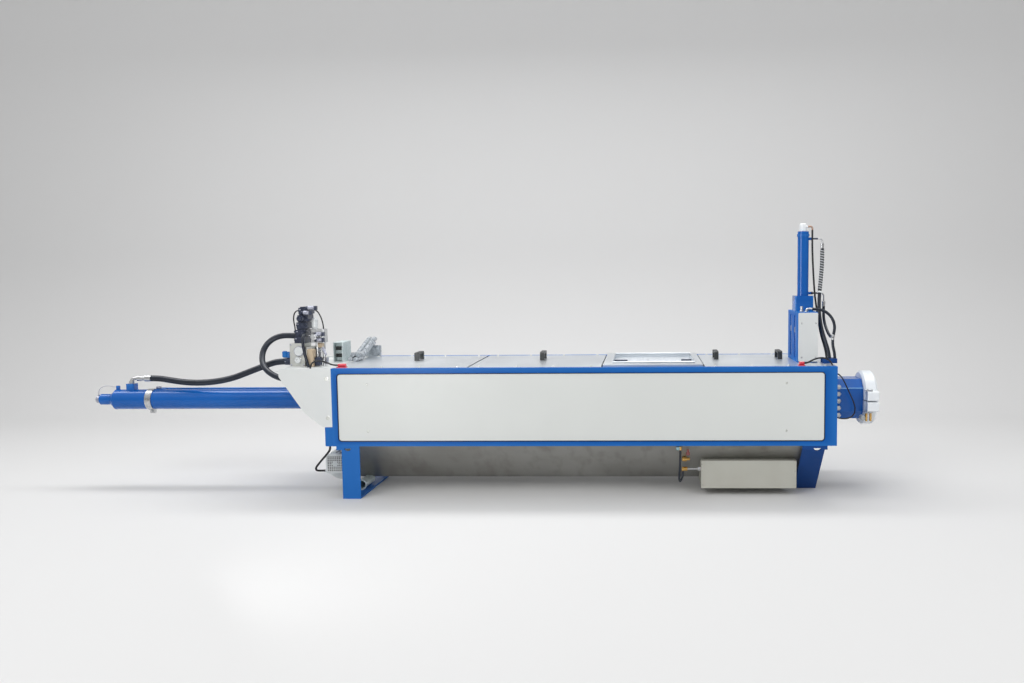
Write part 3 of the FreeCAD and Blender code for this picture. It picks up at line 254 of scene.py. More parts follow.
brightSteel = brushed("brightSteel", {
    "colour": (0.60, 0.61, 0.62, 1), "lineColour": (0.50, 0.51, 0.52, 1),
    "cloudColour": (0.68, 0.69, 0.70, 1), "stainColour": (0.34, 0.33, 0.32, 1), "lineWidth": 0.0006,
    "stretch": (1, 1, 20), "cloud": 0.03, "stainStretch": (1, 1, 1), "cloudAmount": 0.5,
    "stainAmount": 0.3, "metal": 1.0, "roughness": (0.24, 0.38), "lineDepth": 0.00002})
castGrey = brushed("castGrey", {
    "colour": (0.62, 0.63, 0.60, 1), "lineColour": (0.52, 0.53, 0.50, 1),
    "cloudColour": (0.70, 0.71, 0.68, 1), "stainColour": (0.36, 0.36, 0.34, 1), "lineWidth": 0.0015,
    "stretch": (1, 1, 12), "cloud": 0.05, "stainStretch": (1, 1, 1), "cloudAmount": 0.5,
    "stainAmount": 0.3, "metal": 0.55, "roughness": (0.35, 0.5), "lineDepth": 0.00005})
zincSheet = galvanised("zincSheet", {
    "colour": (0.78, 0.86, 0.87, 1), "shade": (0.60, 0.70, 0.71, 1), "stain": (0.40, 0.50, 0.50, 1),
    "crystal": 0.012, "metal": 0.35, "roughness": (0.3, 0.5), "depth": 0.0001})
brass = plain("brass", {
    "colour": (0.78, 0.47, 0.14, 1), "dust": (0.42, 0.26, 0.10, 1), "dustSize": 0.02, "dustAmount": 0.5,
    "metal": 1.0, "roughness": (0.22, 0.4)})
blackRubber = plain("blackRubber", {
    "colour": (0.009, 0.013, 0.023, 1), "dust": (0.024, 0.032, 0.048, 1), "dustSize": 0.05,
    "roughness": (0.28, 0.4), "gloss": 0.4, "grain": 0.0015, "grainDepth": 0.0001})
blackCable = plain("blackCable", {
    "colour": (0.016, 0.016, 0.018, 1), "dust": (0.04, 0.04, 0.045, 1), "dustSize": 0.03,
    "dustAmount": 0.5, "roughness": (0.4, 0.55), "gloss": 0.3, "grain": 0.0008, "grainDepth": 0.00004})
darkMetal = plain("darkMetal", {
    "colour": (0.018, 0.024, 0.050, 1), "dust": (0.07, 0.085, 0.13, 1), "dustSize": 0.02,
    "dustAmount": 0.7, "metal": 0.2, "roughness": (0.26, 0.42), "gloss": 0.4, "coat": 0.2,
    "grain": 0.0015, "grainDepth": 0.00008})
greyHose = plain("greyHose", {
    "colour": (0.34, 0.36, 0.36, 1), "dust": (0.44, 0.46, 0.46, 1), "dustSize": 0.03, "dustAmount": 0.7,
    "roughness": (0.3, 0.46), "coat": 0.2, "grain": 0.002, "grainDepth": 0.0001})
blackPlastic = plain("blackPlastic", {
    "colour": (0.02, 0.022, 0.022, 1), "dust": (0.05, 0.055, 0.055, 1), "dustSize": 0.03,
    "roughness": (0.38, 0.55), "grain": 0.0007, "grainDepth": 0.00008})
whitePlastic = plain("whitePlastic", {
    "colour": (0.82, 0.85, 0.86, 1), "dust": (0.68, 0.72, 0.72, 1), "dustSize": 0.04, "dustAmount": 0.5,
    "roughness": (0.2, 0.32), "coat": 0.3, "grainDepth": 0.00002})
redPlastic = plain("redPlastic", {
    "colour": (0.72, 0.035, 0.06, 1), "dust": (0.60, 0.06, 0.08, 1), "dustSize": 0.02,
    "roughness": (0.25, 0.4), "coat": 0.3, "grain": 0.0008})
supplyPlastic = plain("supplyPlastic", {
    "colour": (0.20, 0.23, 0.26, 1), "dust": (0.52, 0.56, 0.60, 1), "dustSize": 0.022,
    "dustAmount": 1.0, "roughness": (0.22, 0.4), "coat": 0.3, "grain": 0.002, "grainDepth": 0.0001})
valveSteel = plain("valveSteel", {
    "colour": (0.30, 0.31, 0.38, 1), "dust": (0.52, 0.54, 0.62, 1), "dustSize": 0.008,
    "dustAmount": 0.9, "metal": 0.5, "roughness": (0.34, 0.5)})
paleCable = plain("paleCable", {
    "colour": (0.52, 0.52, 0.54, 1), "dust": (0.60, 0.60, 0.62, 1), "dustSize": 0.02,
    "roughness": (0.35, 0.5), "grainDepth": 0.00002})
cyanPlastic = plain("cyanPlastic", {
    "colour": (0.20, 0.36, 0.40, 1), "dust": (0.34, 0.46, 0.48, 1), "dustSize": 0.01,
    "roughness": (0.3, 0.42), "coat": 0.1})
rustRed = plain("rustRed", {
    "colour": (0.16, 0.035, 0.035, 1), "dust": (0.24, 0.09, 0.08, 1), "dustSize": 0.01,
    "roughness": (0.4, 0.55)})
sandPaint = painted("sandPaint", {
    "colour": tone(196, 176, 146), "shade": tone(176, 152, 120), "edge": tone(216, 200, 176),
    "cloud": 0.03, "roughness": (0.4, 0.55), "peelDepth": 0.0001})
paleTape = plain("paleTape", {
    "colour": (0.50, 0.52, 0.54, 1), "dust": (0.36, 0.38, 0.40, 1), "dustSize": 0.03,
    "roughness": (0.35, 0.5), "coat": 0.1, "grain": 0.0008})


def cappedPlastic():
    # white cap whose thin elbow, further out along X, is a tarnished copper pipe
    material, tree, shader, place = startMaterial("capPlastic")
    split = tree.nodes.new("ShaderNodeSeparateXYZ")
    tree.links.new(place, split.inputs["Vector"])
    beyond = spread(tree, split.outputs["X"], 0, 1, 2.115, 2.117)
    stain = noise(tree, place, 0.01, 3.0)
    pipe = blendColours(tree, stain, (0.36, 0.20, 0.14, 1), (0.58, 0.44, 0.36, 1))
    tree.links.new(blendColours(tree, beyond, (0.84, 0.87, 0.89, 1), pipe), shader.inputs["Base Color"])
    tree.links.new(spread(tree, split.outputs["X"], 0, 0.8, 2.115, 2.117), shader.inputs["Metallic"])
    tree.links.new(spread(tree, stain, 0.24, 0.38), shader.inputs["Roughness"])
    addBump(tree, shader, stain, 0.00005)
    return material


capPlastic = cappedPlastic()
print("materials made")

nodeFinish = {
    bluePaint: ["front_frame", "rear_frame", "left_end_wall", "right_end_wall", "left_leg_frame",
                "ram_return_pipe"],
    gateBlue: ["gate_housing"],
    blueGloss: ["ram_cylinder", "gate_cylinder", "outlet_duct"],
    bluePaintedShade: ["right_leg_frame", "hose_junction"],
    panelCoat: ["front_side_panel", "rear_side_panel"],
    palePaint: ["front_ram_bracket", "rear_ram_bracket", "valve_carrier_plate", "gate_front_cover"],
    motorPaint: ["auger_gearbox", "auger_motor"],
    boxCladding: ["insulated_box"],
    whiteCoat: ["coupling_upper_half", "coupling_lower_half"],
    lidSteel: ["left_lid", "middle_lid", "right_lid", "feed_rim"],
    troughSteel: ["strainer_trough"],
    chuteSteel: ["feed_chute"],
    brightSteel: ["ram_fittings", "filter_head", "gate_port_fittings"],
    castGrey: ["valve_manifold"],
    zincSheet: ["terminal_cover", "drain_stub"],
    brass: ["wash_fittings"],
    darkMetal: ["shut_off_valve", "valve_stack"],
    valveSteel: ["ram_sensor_tip"],
    supplyPlastic: ["supply_pipes"],
    blackPlastic: ["lid_handles"],
    whitePlastic: ["filter_bowl"],
    capPlastic: ["gate_cylinder_cap"],
    redPlastic: ["position_sensors"],
}
for finish, names in nodeFinish.items():
    for name in names:
        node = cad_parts[name]
        for index in range(len(node.material_slots)):
            node.material_slots[index].material = finish
print("CAD nodes dressed")


# Surface building blocks: a part is points, four-sided faces, three-sided faces and a material number

def ringFaces(rings, around):
    # faces between neighbouring rings of `around` points each
    ring, step = np.meshgrid(np.arange(rings - 1), np.arange(around), indexing="ij")
    here = ring * around + step
    beside = ring * around + (step + 1) % around
    return np.stack([here, beside, beside + around, here + around], axis=-1).reshape(-1, 4)


def endFan(first, around, middle, turned):
    # triangles that close a ring on one middle point
    step = np.arange(around)
    beside = (step + 1) % around
    order = [first + step, first + beside] if turned else [first + beside, first + step]
    return np.stack([*order, np.full(around, middle)], axis=-1)


def ringPart(rings, finish=0):
    # rings: array (number of rings, points around, 3), closed at both ends by a fan
    count, around = rings.shape[:2]
    points = np.concatenate([rings.reshape(-1, 3), rings[[0, -1]].mean(axis=1)])
    fans = np.concatenate([endFan(0, around, count * around, False),
                           endFan((count - 1) * around, around, count * around + 1, True)])
    return points, ringFaces(count, around), fans, finish


def frameOf(direction):
    # two unit vectors square to a direction
    axis = np.array(direction, float) / np.linalg.norm(direction)
    helper = np.array([0, 0, 1.0]) if abs(axis[2]) < 0.9 else np.array([1.0, 0, 0])
    side = np.cross(helper, axis)
    side /= np.linalg.norm(side)
    return axis, side, np.cross(axis, side)


def turnedPart(profile, start, direction, around=24):
    # each (distance, radius) of the profile swings round the axis:
    # point = start + distance * axis + radius * (cos t * side + sin t * up)
    axis, side, up = frameOf(direction)
    distance, radius = np.array(profile, float).T
    angle = np.arange(around) * 2 * np.pi / around
    ring = np.cos(angle)[:, None] * side + np.sin(angle)[:, None] * up
    rings = np.array(start) + distance[:, None, None] * axis + radius[:, None, None] * ring[None]
    return ringPart(rings)


def blockPart(low, high, chamfer, finish=0):
    # a box with all edges cut back: four rings of eight points, the end rings drawn in by the chamfer
    low, high = np.array(low, float), np.array(high, float)

    def ring(inset, z):
        x0, y0, x1, y1 = low[0] + inset, low[1] + inset, high[0] - inset, high[1] - inset
        c = chamfer
        flat = [[x0 + c, y0], [x1 - c, y0], [x1, y0 + c], [x1, y1 - c],
                [x1 - c, y1], [x0 + c, y1], [x0, y1 - c], [x0, y0 + c]]
        return np.column_stack([flat, np.full(len(flat), z)])

    rings = np.array([ring(chamfer, low[2]), ring(0, low[2] + chamfer),
                      ring(0, high[2] - chamfer), ring(chamfer, high[2])])
    return ringPart(rings, finish)


def roundedLoop(low, high, radius, steps=8):
    # points of a rectangle with round corners, and the outward direction at each
    quarter = np.linspace(0, np.pi / 2, steps)
    angle = np.concatenate([quarter + turn * np.pi / 2 for turn in range(4)])
    centre = np.array([[high[0] - radius, high[1] - radius], [low[0] + radius, high[1] - radius],
                       [low[0] + radius, low[1] + radius], [high[0] - radius, low[1] + radius]])
    outward = np.column_stack([np.cos(angle), np.sin(angle)])
    return np.repeat(centre, steps, axis=0) + radius * outward, outward


def beadPart(loop, outward, section, depth):
    # a closed section of (outward, forward) offsets carried once round a closed loop in the X-Z plane
    across, forward = np.array(section, float).T
    spot = loop[:, None] + across[None, :, None] * outward[:, None]
    level = np.broadcast_to(depth + forward, spot.shape[:2])
    rings = np.stack([spot[..., 0], level, spot[..., 1]], axis=-1)
    closed = np.concatenate([rings, rings[:1]])
    return closed.reshape(-1, 3), ringFaces(len(closed), len(section)), np.zeros((0, 3), int), 0


def repeated(part, shifts):
    # copies of a part at every shift, worked out in one go
    points, quads, tris, finish = part
    shifts = np.array(shifts, float)
    offset = (np.arange(len(shifts)) * len(points))[:, None, None]
    return ((points[None] + shifts[:, None]).reshape(-1, 3), (quads[None] + offset).reshape(-1, 4),
            (tris[None] + offset).reshape(-1, 3), finish)


def addPiece(name, parts, materials, crease=35):
    # joins the parts into one mesh that rides on the machine
    points, quads, tris, quadFinish, triFinish = [], [], [], [], []
    total = 0
    for part, quad, tri, finish in parts:
        points.append(part)
        quads.append(quad + total)
        tris.append(tri + total)
        quadFinish.append(np.full(len(quad), finish))
        triFinish.append(np.full(len(tri), finish))
        total += len(part)
    points, quads, tris = np.concatenate(points), np.concatenate(quads), np.concatenate(tris)
    mesh = bpy.data.meshes.new(name)
    mesh.vertices.add(len(points))
    mesh.vertices.foreach_set("co", points.astype(np.float32).ravel())
    corner = np.concatenate([quads.ravel(), tris.ravel()])
    mesh.loops.add(len(corner))
    mesh.loops.foreach_set("vertex_index", corner.astype(np.int32))
    sizes = np.concatenate([np.full(len(quads), 4), np.full(len(tris), 3)])
    starts = np.concatenate([[0], np.cumsum(sizes)[:-1]])
    mesh.polygons.add(len(sizes))
    mesh.polygons.foreach_set("loop_start", starts.astype(np.int32))
    mesh.polygons.foreach_set("material_index", np.concatenate(quadFinish + triFinish).astype(np.int32))
    for material in materials:
        mesh.materials.append(material)
    mesh.update(calc_edges=True)
    mesh.validate()
    mesh.shade_smooth()
    mesh.set_sharp_from_angle(angle=math.radians(crease))
    piece = bpy.data.objects.new(name, mesh)
    bpy.context.scene.collection.objects.link(piece)
    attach(piece, "root")


def hexBolt(start, direction, width, height):
    # six-sided head with a chamfered top, standing on a round washer
    washer = turnedPart([(0, width * 0.62), (width * 0.1, width * 0.62)], start, direction, 20)
    lift = np.array(start, float) + frameOf(direction)[0] * width * 0.1
    profile = [(0, width / 2), (height * 0.82, width / 2), (height, width * 0.42)]
    return [washer, turnedPart(profile, lift, direction, 6)]


def domeScrew(start, direction, width):
    # low round head with a shallow recess in its middle
    rise = width * 0.28
    profile = [(0, width / 2), (rise * 0.45, width * 0.47), (rise * 0.8, width * 0.36), (rise, width * 0.24),
               (rise, width * 0.16), (rise * 0.5, width * 0.13)]
    return [turnedPart(profile, start, direction, 20)]


# Hoses and cables, along the same routes as their solids

hoseSettings = {
    "bevelSteps": 6,      # roundness of a hose
    "curveSteps": 14,     # smoothness along each stretch
}


def hoseLength(curve):
    # length of the smooth line itself, read from the curve with no thickness
    bevel = curve.bevel_depth
    curve.bevel_depth = 0
    probe = bpy.data.objects.new("probe", curve)
    bpy.context.scene.collection.objects.link(probe)
    bpy.context.view_layer.update()
    line = bpy.data.meshes.new_from_object(probe.evaluated_get(bpy.context.evaluated_depsgraph_get()))
    points = np.empty(len(line.vertices) * 3)
    line.vertices.foreach_get("co", points)
    points = points.reshape(-1, 3)
    bpy.data.objects.remove(probe)
    bpy.data.meshes.remove(line)
    curve.bevel_depth = bevel
    return points, float(np.linalg.norm(np.diff(points, axis=0), axis=1).sum())


def addHose(name, node, route, diameter, material):
    curve = bpy.data.curves.new(name, "CURVE")
    curve.dimensions = "3D"
    curve.bevel_depth = diameter / 2
    curve.bevel_resolution = hoseSettings["bevelSteps"]
    curve.resolution_u = hoseSettings["curveSteps"]
    curve.use_fill_caps = True
    spline = curve.splines.new("NURBS")
    spline.points.add(len(route) - 1)
    for point, place in zip(spline.points, route):
        point.co = (*place, 1)
    spline.order_u = 3
    spline.use_endpoint_u = True
    curve.materials.append(material)
    line, length = hoseLength(curve)
    piece = bpy.data.objects.new(name, curve)
    bpy.context.scene.collection.objects.link(piece)
    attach(piece, "root")
    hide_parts(node)
    return line


# piece, node, diameter, material, slot, stiffness and the points of the route
hoses = [
    ("mainHose", "main_hose", 0.04, blackRubber, "black_rubber", "stiff", [
        (-2.158, 0, 0.696), (-2.105, 0, 0.696), (-2.031, -0.006, 0.685), (-1.943, -0.02, 0.674),
        (-1.848, -0.037, 0.67), (-1.751, -0.056, 0.675), (-1.655, -0.076, 0.688),
        (-1.563, -0.093, 0.709), (-1.485, -0.105, 0.737), (-1.418, -0.113, 0.762),
        (-1.358, -0.118, 0.784), (-1.304, -0.12, 0.803), (-1.255, -0.12, 0.815), (-1.208, -0.12, 0.816)]),
    ("loopHose", "loop_hose", 0.036, blackRubber, "black_rubber", "stiff", [
        (-1.131, -0.11, 0.978), (-1.175, -0.11, 0.981), (-1.228, -0.114, 0.981),
        (-1.277, -0.122, 0.966), (-1.314, -0.139, 0.935), (-1.332, -0.164, 0.893),
        (-1.327, -0.2, 0.848), (-1.305, -0.238, 0.808), (-1.267, -0.275, 0.775), (-1.217, -0.304, 0.75),
        (-1.163, -0.322, 0.732), (-1.107, -0.33, 0.724), (-1.053, -0.327, 0.725),
        (-1.007, -0.32, 0.728), (-0.963, -0.32, 0.728)]),
    ("valveHose", "valve_hose", 0.018, blackRubber, "black_rubber", "medium", [
        (-1.053, -0.16, 1), (-1.053, -0.19, 1), (-1.052, -0.218, 0.984), (-1.049, -0.236, 0.955),
        (-1.044, -0.243, 0.916), (-1.035, -0.244, 0.872), (-1.024, -0.242, 0.83), (-1.015, -0.24, 0.79)]),
    ("stackLeftCable", "stack_left_cable", 0.008, blackCable, "black_cable", "medium", [
        (-1.099, -0.12, 1.142), (-1.116, -0.12, 1.142), (-1.134, -0.12, 1.134), (-1.144, -0.12, 1.116),
        (-1.148, -0.12, 1.09), (-1.146, -0.12, 1.063), (-1.14, -0.12, 1.036), (-1.14, -0.12, 1.012)]),
    ("stackRightCable", "stack_right_cable", 0.008, blackCable, "black_cable", "medium", [
        (-1.033, -0.11, 1.146), (-1.017, -0.11, 1.146), (-0.999, -0.11, 1.137), (-0.985, -0.11, 1.119),
        (-0.974, -0.11, 1.095), (-0.966, -0.11, 1.07), (-0.961, -0.11, 1.045), (-0.96, -0.11, 1.022)]),
    ("ramSensorCable", "ram_sensor_cable", 0.006, paleCable, "grey_hose", "medium", [
        (-2.519, 0, 0.588), (-2.519, 0, 0.604), (-2.513, 0, 0.622), (-2.499, 0, 0.637),
        (-2.479, 0, 0.646), (-2.457, 0, 0.649), (-2.435, 0, 0.647), (-2.414, 0, 0.642),
        (-2.395, 0, 0.64)]),
    ("gateLowerHose", "gate_lower_hose", 0.018, blackRubber, "black_rubber", "medium", [
        (2.223, 0, 1.14), (2.223, 0, 1.112), (2.221, -0.011, 1.075), (2.222, -0.036, 1.038),
        (2.226, -0.072, 1.004), (2.231, -0.108, 0.977), (2.237, -0.139, 0.96), (2.24, -0.163, 0.956),
        (2.24, -0.187, 0.956)]),
    ("gateUpperHose", "gate_upper_hose", 0.022, blackRubber, "black_rubber", "medium", [
        (2.211, 0, 1.506), (2.211, 0, 1.466), (2.21, -0.003, 1.415), (2.205, -0.007, 1.345),
        (2.198, -0.013, 1.278), (2.19, -0.028, 1.212), (2.183, -0.06, 1.15), (2.178, -0.098, 1.09),
        (2.18, -0.135, 1.03), (2.189, -0.168, 0.972), (2.203, -0.192, 0.918), (2.216, -0.206, 0.868),
        (2.22, -0.21, 0.828)]),
    ("gateReturnHose", "gate_return_hose", 0.018, blackRubber, "black_rubber", "medium", [
        (2.24, -0.205, 0.942), (2.24, -0.205, 0.916), (2.245, -0.206, 0.887), (2.252, -0.207, 0.858),
        (2.254, -0.207, 0.828)]),
    ("gateSensorCable", "gate_sensor_cable", 0.012, blackCable, "black_cable", "medium", [
        (2.145, -0.016, 1.62), (2.145, -0.016, 1.58), (2.145, -0.018, 1.52), (2.147, -0.02, 1.45),
        (2.151, -0.022, 1.37), (2.156, -0.025, 1.288), (2.161, -0.03, 1.213), (2.167, -0.044, 1.15),
        (2.173, -0.07, 1.09), (2.175, -0.1, 1.03), (2.181, -0.13, 0.972), (2.193, -0.155, 0.918),
        (2.205, -0.17, 0.868), (2.209, -0.174, 0.828)]),
    ("gateSideHose", "gate_side_hose", 0.018, blackRubber, "black_rubber", "medium", [
        (2.126, -0.13, 1.128), (2.157, -0.13, 1.128), (2.189, -0.131, 1.122), (2.217, -0.135, 1.107),
        (2.24, -0.143, 1.083), (2.254, -0.156, 1.055), (2.258, -0.172, 1.025), (2.253, -0.19, 0.995),
        (2.245, -0.199, 0.97)]),
    ("ductCable", "duct_cable", 0.008, blackCable, "black_cable", "medium", [
        (2.227, -0.25, 0.744), (2.253, -0.25, 0.743), (2.283, -0.243, 0.725), (2.308, -0.225, 0.689),
        (2.341, -0.2, 0.627), (2.371, -0.182, 0.569), (2.39, -0.173, 0.521), (2.387, -0.174, 0.483),
        (2.365, -0.184, 0.459), (2.329, -0.202, 0.451), (2.283, -0.226, 0.457), (2.257, -0.24, 0.47),
        (2.227, -0.24, 0.47)]),
    ("motorCable", "motor_cable", 0.013, blackCable, "black_cable", "limp", [
        (-0.841, -0.39, 0.325), (-0.841, -0.39, 0.304), (-0.855, -0.382, 0.282),
        (-0.879, -0.368, 0.257), (-0.906, -0.352, 0.231), (-0.931, -0.337, 0.205),
        (-0.955, -0.321, 0.18), (-0.97, -0.301, 0.158), (-0.969, -0.276, 0.143), (-0.95, -0.256, 0.138),
        (-0.923, -0.252, 0.138)]),
    ("washHose", "wash_hose", 0.013, blackRubber, "black_rubber", "limp", [
        (1.297, -0.398, 0.296), (1.297, -0.398, 0.262), (1.296, -0.396, 0.222), (1.294, -0.39, 0.181),
        (1.292, -0.378, 0.143), (1.291, -0.36, 0.11), (1.295, -0.338, 0.09), (1.304, -0.318, 0.09),
        (1.313, -0.303, 0.109), (1.317, -0.3, 0.13), (1.317, -0.3, 0.148)]),
    ("leftSensorCable", "left_sensor_cable", 0.01, blackCable, "black_cable", "limp", [
        (-0.79, -0.353, 0.814), (-0.818, -0.353, 0.814), (-0.857, -0.348, 0.829), (-0.9, -0.336, 0.84),
        (-0.941, -0.324, 0.838), (-0.971, -0.315, 0.82), (-0.979, -0.311, 0.79)]),
    ("rightSensorCable", "right_sensor_cable", 0.01, blackCable, "black_cable", "limp", [
        (2.041, -0.353, 0.814), (2.059, -0.353, 0.815), (2.083, -0.353, 0.829), (2.113, -0.353, 0.842),
        (2.145, -0.354, 0.847), (2.175, -0.355, 0.841), (2.199, -0.356, 0.824), (2.209, -0.357, 0.8)]),
]
lines = {}
for name, node, diameter, material, slot, stiffness, route in hoses:
    lines[name] = addHose(name, node, route, diameter, material)
print("hoses and cables laid")


# Seals that also paint the shade in the panel gaps, screws and bolts of the housing

def panelSealsAndGapShade():
    look = {
        "width": 0.006,     # gap between the panel and the window
        "rise": 0.0012,     # how far the bead bulges over the panel
        "corner": 0.016,    # corner radius of the panel
    }
    low, high = corners("front_side_panel")
    loop, outward = roundedLoop(low[[0, 2]], high[[0, 2]], look["corner"])
    w, r = look["width"], look["rise"]
    # black bead filling the gap round each panel: a seal, and painted shade standing for the shadow in the
    # gap
    section = [(0, 0.003), (0, 0), (w * 0.25, -r * 0.8), (w * 0.6, -r), (w, 0), (w, 0.003)]
    front = beadPart(loop, outward, section, low[1])
    rearSection = [(across, -forward) for across, forward in reversed(section)]
    rear = beadPart(loop, outward, rearSection, -low[1])
    addPiece("panelSealsAndGapShade", [front, rear], [blackRubber])


def housingScrews():
    look = {
        "panelScrew": 0.014,       # head width of the panel screws
        "panelInset": 0.178,       # from the panel's left edge to the first screw
        "panelRightInset": 0.222,  # from the panel's right edge to the last screw
        "panelTop": 0.060,         # from the panel's top edge to a screw
        "panelBottom": 0.058,
        "bracketBolt": 0.026,      # flush bolts of the ram brackets
        "bracketRise": 0.0009,
        "bracketPlaces": ((-0.029, -0.062), (-0.025, -0.301)),    # from the plate's right top corner
    }
    low, high = corners("front_side_panel")
    parts = []
    for x in (low[0] + look["panelInset"], high[0] - look["panelRightInset"]):
        for z in (high[2] - look["panelTop"], low[2] + look["panelBottom"]):
            parts += domeScrew((x, low[1], z), (0, -1, 0), look["panelScrew"])
            parts += domeScrew((x, -low[1], z), (0, 1, 0), look["panelScrew"])
    low, high = corners("front_ram_bracket")
    half, rise = look["bracketBolt"] / 2, look["bracketRise"]
    flush = [(0, half), (rise * 0.6, half * 0.98), (rise, half * 0.86), (rise, half * 0.5),
             (rise * 0.2, half * 0.46)]
    for x, z in look["bracketPlaces"]:
        for side in (-1, 1):
            place = (high[0] + x, side * -low[1], high[2] + z)
            parts.append(turnedPart(flush, place, (0, side, 0), 28))
    addPiece("housingScrews", parts, [castGrey])


panelSealsAndGapShade()
housingScrews()
print("seals and housing screws set")


# Lids and feed opening

def deckDetails():
    look = {
        "screw": 0.018,        # lid screws along both long edges
        "screwInset": 0.022,
        "screwPitch": 0.19,
        "screwEnd": 0.06,      # from a lid's end to its first screw
        "hidden": ((-0.80, -0.72), (1.99, 2.10)),    # under the position sensors and the gate junction
        "lipHeight": 0.010,    # upright lip round the feed opening
        "lipWidth": 0.005,
        "lipHalf": 0.28,       # half the opening's depth
        "lipEnds": (0.057, 0.048),    # from the rim's ends to the lip
    }
    parts = []
    for name in ("left_lid", "middle_lid", "right_lid"):
        low, high = corners(name)
        end = look["screwEnd"]
        count = int((high[0] - low[0] - 2 * end) // look["screwPitch"]) + 1
        x = np.linspace(low[0] + end, high[0] - end, count)
        y = high[1] - look["screwInset"]
        shifts = np.array([(place, side * y, high[2]) for place in x for side in (-1, 1)])
        for start, stop in look["hidden"]:
            shifts = shifts[~((shifts[:, 1] < 0) & (shifts[:, 0] > start) & (shifts[:, 0] < stop))]
        parts.append(repeated(domeScrew((0, 0, 0), (0, 0, 1), look["screw"])[0], shifts))
    addPiece("lidScrews", parts, [castGrey])
    low, high = corners("feed_rim")
    w, h = look["lipWidth"], look["lipHeight"]
    x0, x1 = low[0] + look["lipEnds"][0], high[0] - look["lipEnds"][1]
    y1 = look["lipHalf"]
    lip = [blockPart((x0 - w, -y1, high[2]), (x0, y1, high[2] + h), w * 0.3),
           blockPart((x1, -y1, high[2]), (x1 + w, y1, high[2] + h), w * 0.3),
           blockPart((x0 - w, -y1 - w, high[2]), (x1 + w, -y1, high[2] + h), w * 0.3),
           blockPart((x0 - w, y1, high[2]), (x1 + w, y1 + w, high[2] + h), w * 0.3)]
    addPiece("feedLip", lip, [lidSteel])
    # two small dark bars inside the ends of the feed opening
    darkBars = [blockPart((x0, 0.026, 0.792), (x0 + 0.085, 0.040, 0.802), 0.002),
            blockPart((x1 - 0.066, 0.044, 0.792), (x1, 0.058, 0.802), 0.002)]
    addPiece("chuteDarkBars", darkBars, [darkMetal])


deckDetails()
print("deck dressed")


# Fan cover of the auger motor: a pale grid with square holes over a black plate that paints the shade inside
# the cover

def fanGrille():
    look = {
        "columns": 8,
        "rows": 9,
        "half": 0.048,       # half the size of the grid
        "bar": 0.0042,       # width of a bar
        "depth": 0.004,      # how far the grid stands out
        "hub": 0.017,        # radius of the plain middle
        "axis": (-0.839, 0.196),    # x and z of the motor's middle line
    }
    low = corners("auger_motor")[0]
    centre = np.array([look["axis"][0], low[1], look["axis"][1]])
    half, bar, depth = look["half"], look["bar"] / 2, look["depth"]
    # black plate close behind the grid: painted shade showing through the holes
    dark = blockPart(centre - (half, 0.0012, half), centre + (half, 0, half), 0.0008, 1)
    upright = blockPart((-bar, -depth, -half), (bar, -0.001, half), 0.0006)
    level = blockPart((-half, -depth, -bar), (half, -0.001, bar), 0.0006)
    columns = [(x, 0, 0) for x in np.linspace(-half, half, look["columns"] + 1)]
    rows = [(0, 0, z) for z in np.linspace(-half, half, look["rows"] + 1)]
    hub = turnedPart([(0, look["hub"]), (depth * 0.9, look["hub"]), (depth * 1.1, look["hub"] * 0.8)],
                     centre, (0, -1, 0), 32)
    parts = [dark, repeated(upright, centre + np.array(columns)),
             repeated(level, centre + np.array(rows)), hub]
    addPiece("fanGrille", parts, [motorPaint, blackPlastic])


def motorDetails():
    look = {
        "fins": 14,            # cooling fins round the body
        "finHeight": 0.007,
        "finWidth": 0.0035,
        "finRange": (-0.268, -0.100),
        "bodyRadius": 0.056,
        "axis": (-0.839, 0.196),    # x and z of the motor's middle line
        "bolt": 0.013,
        "boltPlaces": ((-0.042, 0.154), (-0.042, 0.238), (0.042, 0.154), (0.042, 0.238)),
    }
    centre = np.array([look["axis"][0], 0, look["axis"][1]])
    radius = look["bodyRadius"]
    angle = np.linspace(0, 2 * np.pi, look["fins"], endpoint=False)
    parts = []
    for turn in angle:
        out = np.array([np.cos(turn), 0, np.sin(turn)])
        along = np.array([0, 1, 0])
        across = np.cross(out, along) * look["finWidth"] / 2
        inner, outer = out * (radius - 0.002), out * (radius + look["finHeight"])
        section = np.array([inner - across, inner + across, outer + across * 0.6, outer - across * 0.6])
        parts.append(ringPart(np.array([centre + [0, y, 0] + section for y in look["finRange"]])))
    left = corners("auger_gearbox")[0][0]
    for y, z in look["boltPlaces"]:
        parts += hexBolt((left, y, z), (-1, 0, 0), look["bolt"], 0.007)
    addPiece("motorFins", parts, [motorPaint])


fanGrille()
motorDetails()
print("auger motor dressed")


# Valve group on the carrier plate

